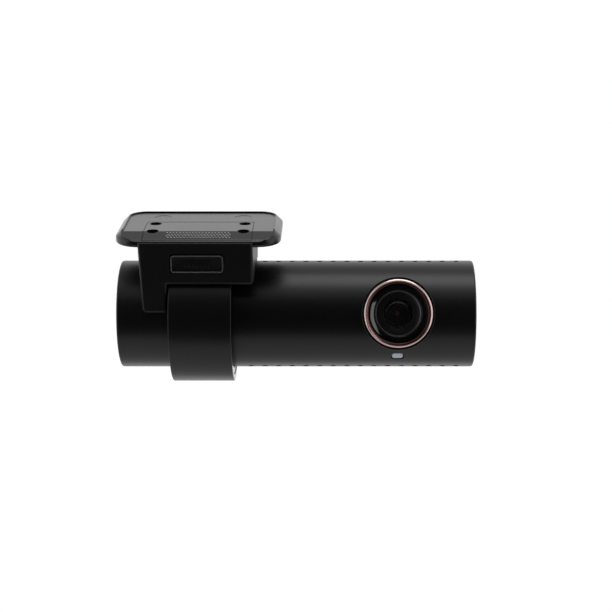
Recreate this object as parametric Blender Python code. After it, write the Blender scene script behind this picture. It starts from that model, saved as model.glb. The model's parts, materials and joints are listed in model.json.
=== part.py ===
"""A cylindrical dash camera in its windscreen bracket.

X runs along the camera towards its lens end, -Y is the lens side and +Z is the normal of the bracket's
plate. The origin is the middle of the plate's top face. The camera is a tube that slides and turns in
a sleeve inside the bracket's ring, and it is stored with its lens turned a little upwards.
"""

import math

import bmesh
import bpy
from mathutils import Matrix, Vector

MM = 0.001
GAP = 0.3 * MM

# The camera's tube
TUBE_RADIUS = 18.0 * MM
TUBE_WALL = 1.6 * MM
TUBE_LEFT = -27.65 * MM
TUBE_LENGTH = 118.5 * MM
TUBE_RIGHT = TUBE_LEFT + TUBE_LENGTH
TUBE_BORE = TUBE_RADIUS - TUBE_WALL
TUBE_DROP = 32.0 * MM
TUBE_SHIFT = 0.5 * MM
TUBE_EDGE = 0.7 * MM
TUBE_SIDES = 48
LENS_ROLL = math.radians(-17.0)
CAP_THICKNESS = 2.0 * MM

# Vent slots, one row along the top and one along the bottom, both turned a little towards the lens
SLOT_COUNT = 16
SLOT_FIRST = 16.15 * MM
SLOT_PITCH = 4.6 * MM
SLOT_WIDTH = 1.6 * MM
SLOT_LENGTH = 5.0 * MM
SLOT_TURN = math.radians(6.5)

# The lens, measured from the tube's axis outwards
LENS_X = 65.1 * MM
COLLAR_RADIUS = 12.1 * MM
COLLAR_TOP = 18.6 * MM
RING_SEAT = 16.5 * MM
RING_OUTER = 11.5 * MM
RING_INNER = 9.85 * MM
RING_TOP = 19.2 * MM
BEZEL_INNER = 7.56 * MM
BARREL_RADIUS = 7.25 * MM
BARREL_TOP = 17.6 * MM
FRONT_GLASS = 4.8 * MM
LENS_BORE = 10.2 * MM

# The security light under the lens
LED_ANGLE = math.radians(52.7)
LED_LENGTH = 3.7 * MM
LED_WIDTH = 2.8 * MM

# The cabin side
WIFI_X = 55.0 * MM
WIFI_RADIUS = 2.6 * MM
FORMAT_X = 44.0 * MM
FORMAT_RADIUS = 1.6 * MM
STATUS_X = 72.0 * MM
STATUS_LENGTH = 14.0 * MM
STATUS_WIDTH = 2.4 * MM
BUTTON_TOP = 18.3 * MM

# The ring that holds the tube, and the sleeve between them
RING_LEFT = -9.7 * MM
RING_RIGHT = 10.9 * MM
CLAMP_OUTER = 22.8 * MM
CLAMP_INNER = 20.6 * MM
SLEEVE_OUTER = 20.3 * MM
SLEEVE_INNER = 18.35 * MM

# The plate on the windscreen
PLATE_LENGTH = 54.2 * MM
PLATE_DEPTH = 35.0 * MM
PLATE_CORNER = 8.0 * MM
PLATE_THICKNESS = 4.5 * MM
PLATE_TOP_ROUND = 3.0 * MM
PLATE_UNDER_ROUND = 1.2 * MM
LID_HALF = 17.8 * MM
LID_BACK = 1.2 * MM
LID_THICKNESS = 2.2 * MM
LID_SCREW_X = 14.85 * MM
LID_SCREW_Y = (-1.1 * MM, -10.8 * MM)

# The housing between the plate and the ring
HOUSING_LEFT = -19.2 * MM
HOUSING_RIGHT = 18.2 * MM
HOUSING_FRONT = -19.0 * MM
HOUSING_BACK = 16.0 * MM
HOUSING_TOP = -PLATE_THICKNESS - GAP
HOUSING_BOTTOM = -16.6 * MM
LIP_TOP = -3.0 * MM
LIP_BACK = -17.8 * MM
LOBE_LEFT = -18.2 * MM
LOBE_BOTTOM = -26.2 * MM
LOBE_BACK = -5.0 * MM

# The lock
BUTTON_HALF = 8.6 * MM
BUTTON_HEIGHT = 5.9 * MM
BUTTON_Z = -9.6 * MM
PAWL_Z = -7.2 * MM
PAWL_END = 3.0 * MM
SPRING_END = 10.2 * MM

# The boards, measured across the tube towards the cabin
BOARD_FRONT = 7.4 * MM
BOARD_THICKNESS = 1.2 * MM
BOARD_BACK = BOARD_FRONT + BOARD_THICKNESS
BOARD_LEFT = -24.5 * MM
BOARD_RIGHT = 86.0 * MM
BOARD_HALF = 12.5 * MM
BOARD_SCREW_X = (-4.5 * MM, 81.0 * MM)
BOARD_SCREW_Z = 10.0 * MM
SLED_FRONT = 9.5 * MM
SLED_THICKNESS = 1.5 * MM
JACK_OFFSET = 10.2 * MM
JACK_Y = 4.0 * MM
CARD_Y = 5.6 * MM
DOOR_LOW = 3.3 * MM
DOOR_HIGH = 8.3 * MM
DOOR_HALF = 6.5 * MM
DOOR_THICKNESS = 1.0 * MM


# ---- mesh helpers

def block(x, y, z, edge=0.0):
    """A box between two ends on each axis, with its edges bevelled by edge."""
    shape = bmesh.new()
    bmesh.ops.create_cube(shape, size=1.0)
    size = Vector((x[1] - x[0], y[1] - y[0], z[1] - z[0]))
    middle = Vector((x[0] + x[1], y[0] + y[1], z[0] + z[1])) / 2
    bmesh.ops.transform(
        shape, matrix=Matrix.Translation(middle) @ Matrix.Diagonal((*size, 1.0)), verts=shape.verts
    )
    if edge:
        bmesh.ops.bevel(
            shape, geom=shape.edges[:], offset=edge, segments=2, profile=0.5, affect="EDGES"
        )
    return shape


def loft(loops, closed=False):
    """A skin over loops of equal count; a loop of one point is a pole, and open ends are capped."""
    shape = bmesh.new()
    rows = [[shape.verts.new(point) for point in loop] for loop in loops]
    pairs = list(zip(rows, rows[1:]))
    if closed:
        pairs.append((rows[-1], rows[0]))
    for low, high in pairs:
        count = max(len(low), len(high))
        for i in range(count):
            j = (i + 1) % count
            corners = [low[i % len(low)], low[j % len(low)], high[j % len(high)], high[i % len(high)]]
            shape.faces.new(list(dict.fromkeys(corners)))
    if not closed:
        for row in (rows[0], rows[-1]):
            if len(row) > 2:
                shape.faces.new(row)
    bmesh.ops.recalc_face_normals(shape, faces=shape.faces)
    return shape


def circle(radius, height, sides):
    if radius <= 0.0:
        return [Vector((0.0, 0.0, height))]
    turns = [2 * math.pi * i / sides for i in range(sides)]
    return [Vector((radius * math.cos(a), radius * math.sin(a), height)) for a in turns]


def turned(profile, sides=24, closed=False):
    """A solid turned round Z from (radius, height) points."""
    return loft([circle(radius, height, sides) for radius, height in profile], closed)


def rounded_rectangle(half_x, half_y, radius, height, steps=5):
    """A loop round a rectangle whose corners have this radius."""
    loop = []
    for quarter, (sx, sy) in enumerate(((1, 1), (-1, 1), (-1, -1), (1, -1))):
        centre = Vector((sx * (half_x - radius), sy * (half_y - radius), height))
        for i in range(steps + 1):
            angle = math.pi / 2 * (quarter + i / steps)
            loop.append(centre + radius * Vector((math.cos(angle), math.sin(angle), 0.0)))
    return loop


def pill_loop(half_x, half_y, height, steps=6):
    """A loop of two half circles joined by straight sides."""
    loop = []
    for side in (1, -1):
        for i in range(steps + 1):
            angle = math.pi * (i / steps - 0.5)
            x = side * (half_x - half_y + half_y * math.cos(angle))
            loop.append(Vector((x, side * half_y * math.sin(angle), height)))
    return loop


def pill(half_x, half_y, low, high, edge=0.0):
    """An upright slab with round ends, and its top edge chamfered by edge."""
    loops = [pill_loop(half_x, half_y, low), pill_loop(half_x, half_y, high - edge)]
    if edge:
        loops.append(pill_loop(half_x - edge, half_y - edge, high))
    return loft(loops)


def extruded(outline, low, high):
    """An outline of (a, b) points, swept along Z from low to high."""
    return loft([[Vector((a, b, height)) for a, b in outline] for height in (low, high)])


def coil(radius, wire, length, turns, steps=10, sides=5):
    """A helical spring along Z, starting at the origin."""
    loops = []
    for i in range(turns * steps + 1):
        angle = 2 * math.pi * i / steps
        out = Vector((math.cos(angle), math.sin(angle), 0.0))
        middle = radius * out + Vector((0.0, 0.0, wire + (length - 2 * wire) * i / (turns * steps)))
        around = [2 * math.pi * k / sides for k in range(sides)]
        loops.append([middle + wire * (math.cos(a) * out + math.sin(a) * Vector((0, 0, 1))) for a in around])
    return loft(loops)


def turn(shape, angle, axis):
    bmesh.ops.rotate(shape, cent=(0, 0, 0), matrix=Matrix.Rotation(angle, 3, axis), verts=shape.verts)
    return shape


def along_x(shape):
    """Lays a shape made along Z along X."""
    return turn(shape, math.pi / 2, "Y")


def joined(shapes):
    """Several separate shapes as one mesh, for a cutter."""
    whole = bmesh.new()
    for shape in shapes:
        mesh = bpy.data.meshes.new("part_of_cutter")
        shape.to_mesh(mesh)
        whole.from_mesh(mesh)
        bpy.data.meshes.remove(mesh)
    return whole


# ---- object helpers

def finish(name, colour, roughness, metallic=0.0):
    made = bpy.data.materials.get(name)
    if made:
        return made
    made = bpy.data.materials.new(name)
    made.use_nodes = True
    shader = made.node_tree.nodes["Principled BSDF"]
    shader.inputs["Base Color"].default_value = (*colour, 1.0)
    shader.inputs["Roughness"].default_value = roughness
    shader.inputs["Metallic"].default_value = metallic
    return made


def black_shell():
    return finish("satin_black", (0.012, 0.012, 0.013), 0.38)


def black_plastic():
    return finish("black_plastic", (0.016, 0.016, 0.017), 0.45)


def gloss_black():
    return finish("gloss_black", (0.006, 0.006, 0.007), 0.08)


def rose_gold():
    return finish("rose_gold", (0.80, 0.50, 0.42), 0.2, 1.0)


def steel():
    return finish("steel", (0.55, 0.55, 0.56), 0.3, 1.0)


def circuit_board():
    return finish("circuit_board", (0.02, 0.12, 0.06), 0.5)


def chip():
    return finish("chip", (0.02, 0.02, 0.022), 0.4)


def place(obj, parent=None, at=(0.0, 0.0, 0.0), rotation=(0.0, 0.0, 0.0)):
    bpy.context.scene.collection.objects.link(obj)
    obj.parent = parent
    obj.location = at
    obj.rotation_euler = rotation
    return obj


def empty(name, parent=None, at=(0.0, 0.0, 0.0), rotation=(0.0, 0.0, 0.0)):
    return place(bpy.data.objects.new(name, None), parent, at, rotation)


def mesh_of(name, shape):
    mesh = bpy.data.meshes.new(name)
    shape.to_mesh(mesh)
    shape.free()
    mesh.shade_smooth()
    mesh.set_sharp_from_angle(angle=math.radians(35))
    return mesh


def piece(name, shape, look, parent=None, at=(0.0, 0.0, 0.0), rotation=(0.0, 0.0, 0.0)):
    mesh = mesh_of(name, shape)
    mesh.materials.append(look)
    return place(bpy.data.objects.new(name, mesh), parent, at, rotation)


def copy_of(obj, name, at):
    """A second object on the same mesh."""
    return place(bpy.data.objects.new(name, obj.data), obj.parent, at, obj.rotation_euler)


def boolean(target, operation, shape, parent=None, at=(0.0, 0.0, 0.0), rotation=(0.0, 0.0, 0.0)):
    """Cuts a helper shape from the target, joins it on, or keeps what both share."""
    name = f"{target.name}_helper_{len(target.modifiers)}"
    tool = place(bpy.data.objects.new(name, mesh_of(name, shape)), parent, at, rotation)
    tool.hide_render = True
    tool.display_type = "WIRE"
    modifier = target.modifiers.new(name, "BOOLEAN")
    modifier.operation = operation
    modifier.solver = "EXACT"
    modifier.object = tool
    return tool


def cut(target, shape, parent=None, at=(0.0, 0.0, 0.0), rotation=(0.0, 0.0, 0.0)):
    return boolean(target, "DIFFERENCE", shape, parent, at, rotation)


# ---- the bracket

def plate_blank():
    """The plate with its round corners, its wide top edge and its small lower edge."""
    loops = []
    steps = 4
    half_x = PLATE_LENGTH / 2
    half_y = PLATE_DEPTH / 2
    for i in range(steps + 1):
        angle = math.pi / 2 * i / steps
        inset = PLATE_UNDER_ROUND * (1 - math.sin(angle))
        height = -PLATE_THICKNESS + PLATE_UNDER_ROUND * (1 - math.cos(angle))
        loops.append(rounded_rectangle(half_x - inset, half_y - inset, PLATE_CORNER - inset, height))
    for i in range(steps + 1):
        angle = math.pi / 2 * i / steps
        inset = PLATE_TOP_ROUND * (1 - math.cos(angle))
        height = -PLATE_TOP_ROUND * (1 - math.sin(angle))
        loops.append(rounded_rectangle(half_x - inset, half_y - inset, PLATE_CORNER - inset, height))
    return loft(loops)


def lid_screw_places():
    return [(x, y) for x in (-LID_SCREW_X, LID_SCREW_X) for y in LID_SCREW_Y]


def screw(head_radius, head_height, shank_radius, length):
    """A pan-head screw hanging down from the origin, with a cross recess left to the finish."""
    return turned([
        (0.0, 0.0),
        (head_radius * 0.8, 0.0),
        (head_radius, -head_height * 0.4),
        (head_radius, -head_height),
        (shank_radius, -head_height),
        (shank_radius, -length + shank_radius),
        (shank_radius * 0.3, -length),
        (0.0, -length),
    ], sides=12)


def build_plate():
    front = -PLATE_DEPTH
    plate = piece("mount_plate", plate_blank(), black_plastic())
    cut(plate, block(
        (-LID_HALF - GAP, LID_HALF + GAP), (front, LID_BACK + GAP), (-LID_THICKNESS - GAP, PLATE_THICKNESS)
    ))
    lid = piece("bracket_lid", plate_blank(), black_plastic())
    boolean(lid, "INTERSECT", block((-LID_HALF, LID_HALF), (front, LID_BACK), (-LID_THICKNESS, PLATE_THICKNESS)))
    shank_hole = 1.1 * MM
    head_hole = 1.8 * MM
    seat = -1.5 * MM
    drill = [(0.0, -PLATE_DEPTH), (shank_hole, -PLATE_DEPTH), (shank_hole, seat), (head_hole, seat)]
    drill += [(head_hole, PLATE_THICKNESS), (0.0, PLATE_THICKNESS)]
    drills = []
    for x, y in lid_screw_places():
        shape = turned(drill, sides=20)
        bmesh.ops.translate(shape, vec=(x, y, 0.0), verts=shape.verts)
        drills.append(shape)
    cutter = joined(drills)
    cut(plate, cutter.copy())
    cut(lid, cutter)
    first = None
    for number, (x, y) in enumerate(lid_screw_places(), start=1):
        at = (x, y, seat + GAP + 0.7 * MM)
        if first is None:
            first = piece("lid_screw_1", screw(1.5 * MM, 0.7 * MM, 0.8 * MM, 7.5 * MM), steel(), at=at)
        else:
            copy_of(first, f"lid_screw_{number}", at)


def housing_outline():
    """The housing seen from the front, as (x, z): a block with a lobe down its left side, which tapers."""
    right_corner = 1.5 * MM
    left_corner = 1.6 * MM
    steps = 4
    points = [(HOUSING_LEFT, HOUSING_TOP), (HOUSING_RIGHT, HOUSING_TOP)]
    for i in range(steps + 1):
        angle = -math.pi / 2 * i / steps
        x = HOUSING_RIGHT - right_corner + right_corner * math.cos(angle)
        points.append((x, HOUSING_BOTTOM + right_corner + right_corner * math.sin(angle)))
    lobe_edge = RING_LEFT - GAP
    points += [(lobe_edge, HOUSING_BOTTOM), (lobe_edge, LOBE_BOTTOM)]
    for i in range(steps + 1):
        angle = -math.pi / 2 * (1 + i / steps)
        x = LOBE_LEFT + left_corner + left_corner * math.cos(angle)
        points.append((x, LOBE_BOTTOM + left_corner + left_corner * math.sin(angle)))
    return points


def build_housing(tube_axis):
    shape = extruded([(x, -z) for x, z in housing_outline()], HOUSING_FRONT, HOUSING_BACK)
    housing = piece("bracket_housing", turn(shape, -math.pi / 2, "X"), black_plastic())
    edges = housing.modifiers.new("front_and_back_edges", "BEVEL")
    edges.width = 1.1 * MM
    edges.segments = 2
    edges.limit_method = "ANGLE"
    edges.angle_limit = math.radians(60)
    clear = TUBE_RADIUS + 2 * GAP
    reach = 3 * HOUSING_RIGHT
    cut(housing, block((-reach, reach), (LOBE_BACK, PLATE_DEPTH), (-PLATE_DEPTH, HOUSING_BOTTOM)))
    lip_inset = 1.2 * MM
    boolean(housing, "UNION", block(
        (HOUSING_LEFT + lip_inset, HOUSING_RIGHT - lip_inset),
        (HOUSING_FRONT + 0.1 * MM, LIP_BACK),
        (HOUSING_TOP - 2.0 * MM, LIP_TOP),
    ))
    bore = [(0.0, -reach), (clear, -reach), (clear, reach), (0.0, reach)]
    cut(housing, along_x(turned(bore, TUBE_SIDES)), tube_axis)
    strap_room = [(0.0, RING_LEFT - GAP), (CLAMP_OUTER + GAP, RING_LEFT - GAP)]
    strap_room += [(CLAMP_OUTER + GAP, RING_RIGHT + GAP), (0.0, RING_RIGHT + GAP)]
    cut(housing, along_x(turned(strap_room, TUBE_SIDES)), tube_axis)
    edge = 0.35 * MM
    pocket_half = BUTTON_HEIGHT / 2 + edge
    pocket = block(
        (-BUTTON_HALF - edge, BUTTON_HALF + edge),
        (HOUSING_FRONT - MM, -14.0 * MM),
        (BUTTON_Z - pocket_half, BUTTON_Z + pocket_half),
    )
    cut(housing, pocket)
    cut(housing, block((-4.4 * MM, 4.4 * MM), (-15.0 * MM, 4.8 * MM), (PAWL_Z - MM, PAWL_Z + MM)))
    cut(housing, block((-3.1 * MM, 3.1 * MM), (-1.6 * MM, 4.4 * MM), (-12.0 * MM, PAWL_Z)))
    cut(housing, block(
        (-1.6 * MM, 1.6 * MM), (4.0 * MM, SPRING_END + GAP), (PAWL_Z - 1.55 * MM, PAWL_Z + 1.55 * MM)
    ))
    hollow_y = (2.5 * MM, HOUSING_BACK - 1.6 * MM)
    for side in (-1, 1):
        inner, outer = 12.0 * MM, HOUSING_RIGHT - 1.5 * MM
        ends = sorted((side * inner, side * outer))
        cut(housing, block(ends, hollow_y, (-12.0 * MM, HOUSING_TOP + MM)))
    drills = []
    for x, y in lid_screw_places():
        shape = turned([(0.0, -9.6 * MM), (1.1 * MM, -9.6 * MM), (1.1 * MM, 0.0), (0.0, 0.0)], 12)
        bmesh.ops.translate(shape, vec=(x, y, 0.0), verts=shape.verts)
        drills.append(shape)
    cut(housing, joined(drills))
    return housing


def build_ring_screws(housing, ring):
    """Two screws that hold the ring up inside the housing."""
    y = 8.5 * MM
    head_z = -5.4 * MM
    profile = [(0.0, -20.0 * MM), (1.1 * MM, -20.0 * MM), (1.1 * MM, -7.0 * MM)]
    profile += [(1.9 * MM, -7.0 * MM), (1.9 * MM, 0.0), (0.0, 0.0)]
    first = None
    for number, x in enumerate((-6.5 * MM, 6.5 * MM), start=1):
        at = (x, y, 0.0)
        cut(housing, turned(profile, 16), at=at)
        cut(ring, turned(profile[:2] + [(1.1 * MM, -5.0 * MM), (0.0, -5.0 * MM)], 16), at=at)
        if first is None:
            shape = screw(1.5 * MM, 1.1 * MM, 0.8 * MM, 7.4 * MM)
            first = piece("ring_screw_1", shape, steel(), at=(x, y, head_z))
        else:
            copy_of(first, f"ring_screw_{number}", (x, y, head_z))


def build_ring(tube_axis):
    edge = 0.4 * MM
    profile = [
        (CLAMP_INNER, RING_LEFT),
        (CLAMP_OUTER - edge, RING_LEFT),
        (CLAMP_OUTER, RING_LEFT + edge),
        (CLAMP_OUTER, RING_RIGHT - edge),
        (CLAMP_OUTER - edge, RING_RIGHT),
        (CLAMP_INNER, RING_RIGHT),
    ]
    ring = piece("clamp_ring", along_x(turned(profile, TUBE_SIDES, closed=True)), black_shell(), tube_axis)
    cut(ring, block((-3.1 * MM, 3.1 * MM), (-1.6 * MM, 4.4 * MM), (-14.0 * MM, -6.0 * MM)))
    return ring


def build_lock():
    button = block(
        (-BUTTON_HALF, BUTTON_HALF),
        (-18.9 * MM, -16.2 * MM),
        (-BUTTON_HEIGHT / 2, BUTTON_HEIGHT / 2),
    )
    corners = [e for e in button.edges if abs(e.verts[0].co.y - e.verts[1].co.y) > MM]
    bmesh.ops.bevel(button, geom=corners, offset=1.2 * MM, segments=3, profile=0.5, affect="EDGES")
    front = min(button.faces, key=lambda face: face.calc_center_median().y)
    bmesh.ops.inset_individual(button, faces=[front], thickness=0.45 * MM)
    bmesh.ops.translate(button, vec=(0.0, 0.4 * MM, 0.0), verts=front.verts)
    piece("lock_button", button, black_plastic(), at=(0.0, 0.0, BUTTON_Z))
    half = 0.7 * MM
    pawl = piece("lock_pawl", block((-4.0 * MM, 4.0 * MM), (-15.9 * MM, PAWL_END), (-half, half)), steel())
    pawl.location.z = PAWL_Z
    boolean(pawl, "UNION", block((-2.5 * MM, 2.5 * MM), (-1.0 * MM, 2.5 * MM), (-11.3 * MM, PAWL_Z)))
    length = SPRING_END - PAWL_END - 2 * GAP
    spring = turn(coil(1.1 * MM, 0.2 * MM, length, 6), -math.pi / 2, "X")
    piece("lock_spring", spring, steel(), at=(0.0, PAWL_END + GAP, PAWL_Z))


def build_sleeve(tube):
    left = RING_LEFT + 0.2 * MM - TUBE_SHIFT
    right = RING_RIGHT - 0.2 * MM - TUBE_SHIFT
    profile = [(SLEEVE_INNER, left), (SLEEVE_OUTER, left), (SLEEVE_OUTER, right), (SLEEVE_INNER, right)]
    piece("grip_sleeve", along_x(turned(profile, TUBE_SIDES, closed=True)), black_plastic(), tube)


# ---- the camera's casing

def edge_arc(radius, end, direction, steps=3):
    """The rounded outer edge of the tube at one end, as (radius, height) points."""
    points = []
    for i in range(steps + 1):
        angle = math.pi / 2 * i / steps
        inset = TUBE_EDGE * (1 - math.sin(angle))
        back = TUBE_EDGE * (1 - math.cos(angle))
        points.append((radius - inset, end + direction * back))
    return points


def build_shell(tube, lens, led, rear):
    profile = edge_arc(TUBE_RADIUS, TUBE_LEFT, 1)
    profile += edge_arc(TUBE_RADIUS, TUBE_RIGHT, -1)[::-1]
    profile += [(TUBE_BORE, TUBE_RIGHT), (TUBE_BORE, TUBE_LEFT)]
    shell = piece("camera_shell", along_x(turned(profile, TUBE_SIDES, closed=True)), black_shell(), tube)
    slots = []
    for i in range(SLOT_COUNT):
        x = SLOT_FIRST + SLOT_PITCH * i
        width = (x - SLOT_WIDTH / 2, x + SLOT_WIDTH / 2)
        length = (-SLOT_LENGTH / 2, SLOT_LENGTH / 2)
        slots.append(turn(block(width, length, (15.0 * MM, 19.0 * MM)), SLOT_TURN, "X"))
        slots.append(turn(block(width, length, (-19.0 * MM, -15.0 * MM)), -SLOT_TURN, "X"))
    cut(shell, joined(slots), tube)
    cut(shell, pill(LED_LENGTH / 2 + GAP, LED_WIDTH / 2 + GAP, 15.0 * MM, 20.0 * MM), led)
    low, high = 12.0 * MM, 20.0 * MM
    for x, radius in ((WIFI_X, WIFI_RADIUS + GAP), (FORMAT_X, FORMAT_RADIUS + GAP)):
        cut(shell, turned([(0.0, low), (radius, low), (radius, high), (0.0, high)], 24), rear, (x, 0, 0))
    cut(shell, pill(STATUS_LENGTH / 2 + GAP, STATUS_WIDTH / 2 + GAP, low, high), rear, (STATUS_X, 0, 0))
    collar_foot = 11.7 * MM
    edge = 0.3 * MM
    collar = [(0.0, collar_foot), (COLLAR_RADIUS, collar_foot), (COLLAR_RADIUS, COLLAR_TOP - edge)]
    collar += [(COLLAR_RADIUS - edge / 2, COLLAR_TOP), (0.0, COLLAR_TOP)]
    boolean(shell, "UNION", turned(collar, 48), lens)
    bore = [(0.0, 5.0 * MM), (LENS_BORE, 5.0 * MM), (LENS_BORE, RING_SEAT)]
    bore += [(RING_OUTER + GAP, RING_SEAT), (RING_OUTER + GAP, 25.0 * MM), (0.0, 25.0 * MM)]
    cut(shell, turned(bore, 48), lens)


def build_caps(left, right):
    radius = TUBE_BORE - GAP
    top = -GAP
    bottom = top - CAP_THICKNESS
    disc = [(0.0, bottom), (radius, bottom), (radius, top - GAP), (radius - GAP, top), (0.0, top)]
    left_cap = piece("left_cap", turned(disc, 48), black_plastic(), left)
    pocket_floor = top - DOOR_THICKNESS - GAP
    cut(left_cap, block(
        (-DOOR_HALF - GAP, DOOR_HALF + GAP), (DOOR_LOW - 0.8 * MM, DOOR_HIGH + GAP), (pocket_floor, MM)
    ), left)
    cut(left_cap, block((-6.0 * MM, 6.0 * MM), (DOOR_LOW + MM, DOOR_HIGH - 0.6 * MM), (2 * bottom, MM)), left)
    for side in (-1, 1):
        hole = [(0.0, 2 * bottom), (2.4 * MM, 2 * bottom), (2.4 * MM, MM), (0.0, MM)]
        cut(left_cap, turned(hole, 24), left, (side * JACK_OFFSET, JACK_Y, 0.0))
    right_cap = piece("right_cap", turned(disc, 48), black_plastic(), right)
    holes = []
    for row in range(-1, 2):
        for column in range(-1, 2):
            hole = turned([(0.0, 2 * bottom), (0.6 * MM, 2 * bottom), (0.6 * MM, MM), (0.0, MM)], 8)
            at = (column * 2.4 * MM, row * 2.4 * MM - 3.0 * MM, 0.0)
            bmesh.ops.translate(hole, vec=at, verts=hole.verts)
            holes.append(hole)
    cut(right_cap, joined(holes), right)


def build_lens(lens):
    ring_foot = RING_SEAT + GAP
    edge = 0.5 * MM
    ring = [
        (RING_INNER, ring_foot),
        (RING_OUTER, ring_foot),
        (RING_OUTER, RING_TOP - 1.5 * edge),
        (RING_OUTER - 0.3 * edge, RING_TOP - 0.5 * edge),
        (RING_OUTER - edge, RING_TOP),
        (RING_INNER + edge, RING_TOP - 0.2 * edge),
        (RING_INNER, RING_TOP - edge),
    ]
    piece("trim_ring", turned(ring, 48, closed=True), rose_gold(), lens)
    outer = RING_INNER - GAP
    bezel = [
        (BEZEL_INNER, ring_foot),
        (outer, ring_foot),
        (outer, 18.2 * MM),
        (outer - 0.4 * MM, 18.6 * MM),
        (outer - 1.1 * MM, 18.4 * MM),
        (BEZEL_INNER, 17.6 * MM),
    ]
    piece("lens_bezel", turned(bezel, 48, closed=True), gloss_black(), lens)
    tail = 6.0 * MM
    bore = 4.2 * MM
    seat = 13.2 * MM
    barrel = [
        (bore, 2.0 * MM),
        (tail, 2.0 * MM),
        (tail, 9.0 * MM),
        (BARREL_RADIUS, 9.0 * MM),
        (BARREL_RADIUS, BARREL_TOP - 0.2 * MM),
        (BARREL_RADIUS - 0.2 * MM, BARREL_TOP),
        (BARREL_RADIUS - 0.6 * MM, BARREL_TOP),
        (BARREL_RADIUS - 0.9 * MM, 16.9 * MM),
        (FRONT_GLASS + 0.6 * MM, 16.3 * MM),
        (FRONT_GLASS + GAP, seat),
        (bore, seat),
    ]
    piece("lens_barrel", turned(barrel, 40, closed=True), black_plastic(), lens)
    foot = seat + GAP
    front = [(0.0, foot), (FRONT_GLASS, foot), (FRONT_GLASS, foot + MM)]
    rise = 1.5 * MM
    steps = 4
    for i in range(1, steps):
        part = i / steps
        front.append((FRONT_GLASS * math.cos(part * math.pi / 2), foot + MM + rise * math.sin(part * math.pi / 2)))
    front.append((0.0, foot + MM + rise))
    piece("front_element", turned(front, 32), finish("lens_glass", (0.05, 0.03, 0.05), 0.02), lens)
    rear_radius = bore - GAP
    rear = [(0.0, 4.0 * MM), (rear_radius * 0.8, 4.6 * MM), (rear_radius, 6.0 * MM), (0.0, 6.4 * MM)]
    piece("rear_element", turned(rear, 24), finish("lens_glass", (0.05, 0.03, 0.05), 0.02), lens)
    holder_foot = -2.4 * MM
    holder = piece("lens_holder", block((-8 * MM, 8 * MM), (-8 * MM, 8 * MM), (holder_foot, 7.5 * MM)), chip(), lens)
    room = tail + GAP
    cut(holder, turned([(0.0, -9 * MM), (room, -9 * MM), (room, 15 * MM), (0.0, 15 * MM)], 32), lens)
    half = 10.0 * MM
    board_top = holder_foot - GAP
    piece("sensor_board", block((-half, half), (-half, half), (board_top - MM, board_top)), circuit_board(), lens)
    sensor = block((-3.6 * MM, 3.6 * MM), (-2.7 * MM, 2.7 * MM), (board_top + GAP, board_top + 1.3 * MM))
    piece("image_sensor", sensor, chip(), lens)


def build_lights(led, rear):
    window = pill(LED_LENGTH / 2, LED_WIDTH / 2, 16.0 * MM, 18.1 * MM, 0.2 * MM)
    piece("security_led_window", window, finish("light_pipe", (0.62, 0.68, 0.74), 0.3), led)
    chip_look = finish("led_chip", (0.8, 0.8, 0.75), 0.4)
    piece("security_led", block((-1.2 * MM, 1.2 * MM), (-0.8 * MM, 0.8 * MM), (14.4 * MM, 15.7 * MM)), chip_look, led)
    window = pill(STATUS_LENGTH / 2, STATUS_WIDTH / 2, 16.0 * MM, 18.0 * MM, 0.15 * MM)
    piece("status_window", window, finish("smoke_window", (0.03, 0.03, 0.035), 0.15), rear, (STATUS_X, 0, 0))
    strip = block((-6 * MM, 6 * MM), (-MM, MM), (14.4 * MM, 15.6 * MM))
    piece("status_led_strip", strip, chip_look, rear, (STATUS_X, 0, 0))


def build_buttons(rear):
    foot = 12.9 * MM
    for name, x, radius in (("wifi", WIFI_X, WIFI_RADIUS), ("format", FORMAT_X, FORMAT_RADIUS)):
        edge = 0.3 * MM
        profile = [(0.0, foot), (radius, foot), (radius, BUTTON_TOP - edge)]
        profile += [(radius - edge, BUTTON_TOP), (0.0, BUTTON_TOP)]
        piece(f"{name}_button", turned(profile, 24), black_plastic(), rear, (x, 0, 0))
        half = 3.0 * MM if name == "wifi" else 2.5 * MM
        switch = block((-half, half), (-half, half), (BOARD_BACK + GAP, 12.1 * MM))
        piece(f"{name}_switch", switch, chip(), rear, (x, 0, 0))


# ---- inside the tube

def build_boards(tube):
    look = circuit_board()
    board = piece("main_board", block(
        (BOARD_LEFT, BOARD_RIGHT), (BOARD_FRONT, BOARD_BACK), (-BOARD_HALF, BOARD_HALF)
    ), look, tube)
    sled_half = 11.5 * MM
    sled_back = SLED_FRONT + SLED_THICKNESS
    sled = piece("board_sled", block(
        (BOARD_LEFT + MM, BOARD_RIGHT), (SLED_FRONT, sled_back), (-sled_half, sled_half)
    ), black_plastic(), tube)
    cut(sled, block((-20 * MM, 77 * MM), (0.0, 20 * MM), (-8 * MM, 8 * MM)), tube)
    drills = []
    for x in BOARD_SCREW_X:
        for z in (-BOARD_SCREW_Z, BOARD_SCREW_Z):
            drill = turned([(0.0, 0.0), (1.1 * MM, 0.0), (1.1 * MM, 20 * MM), (0.0, 20 * MM)], 12)
            drill = turn(drill, -math.pi / 2, "X")
            bmesh.ops.translate(drill, vec=(x, 0.0, z), verts=drill.verts)
            drills.append(drill)
    cutter = joined(drills)
    cut(board, cutter.copy(), tube)
    cut(sled, cutter, tube)
    first = None
    number = 0
    for x in BOARD_SCREW_X:
        for z in (-BOARD_SCREW_Z, BOARD_SCREW_Z):
            number += 1
            at = (x, BOARD_FRONT - GAP - 0.8 * MM, z)
            if first is None:
                shape = turn(screw(1.8 * MM, 0.8 * MM, 0.8 * MM, 4.2 * MM), math.pi / 2, "X")
                first = piece("board_screw_1", shape, steel(), tube, at)
            else:
                copy_of(first, f"board_screw_{number}", at)


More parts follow.
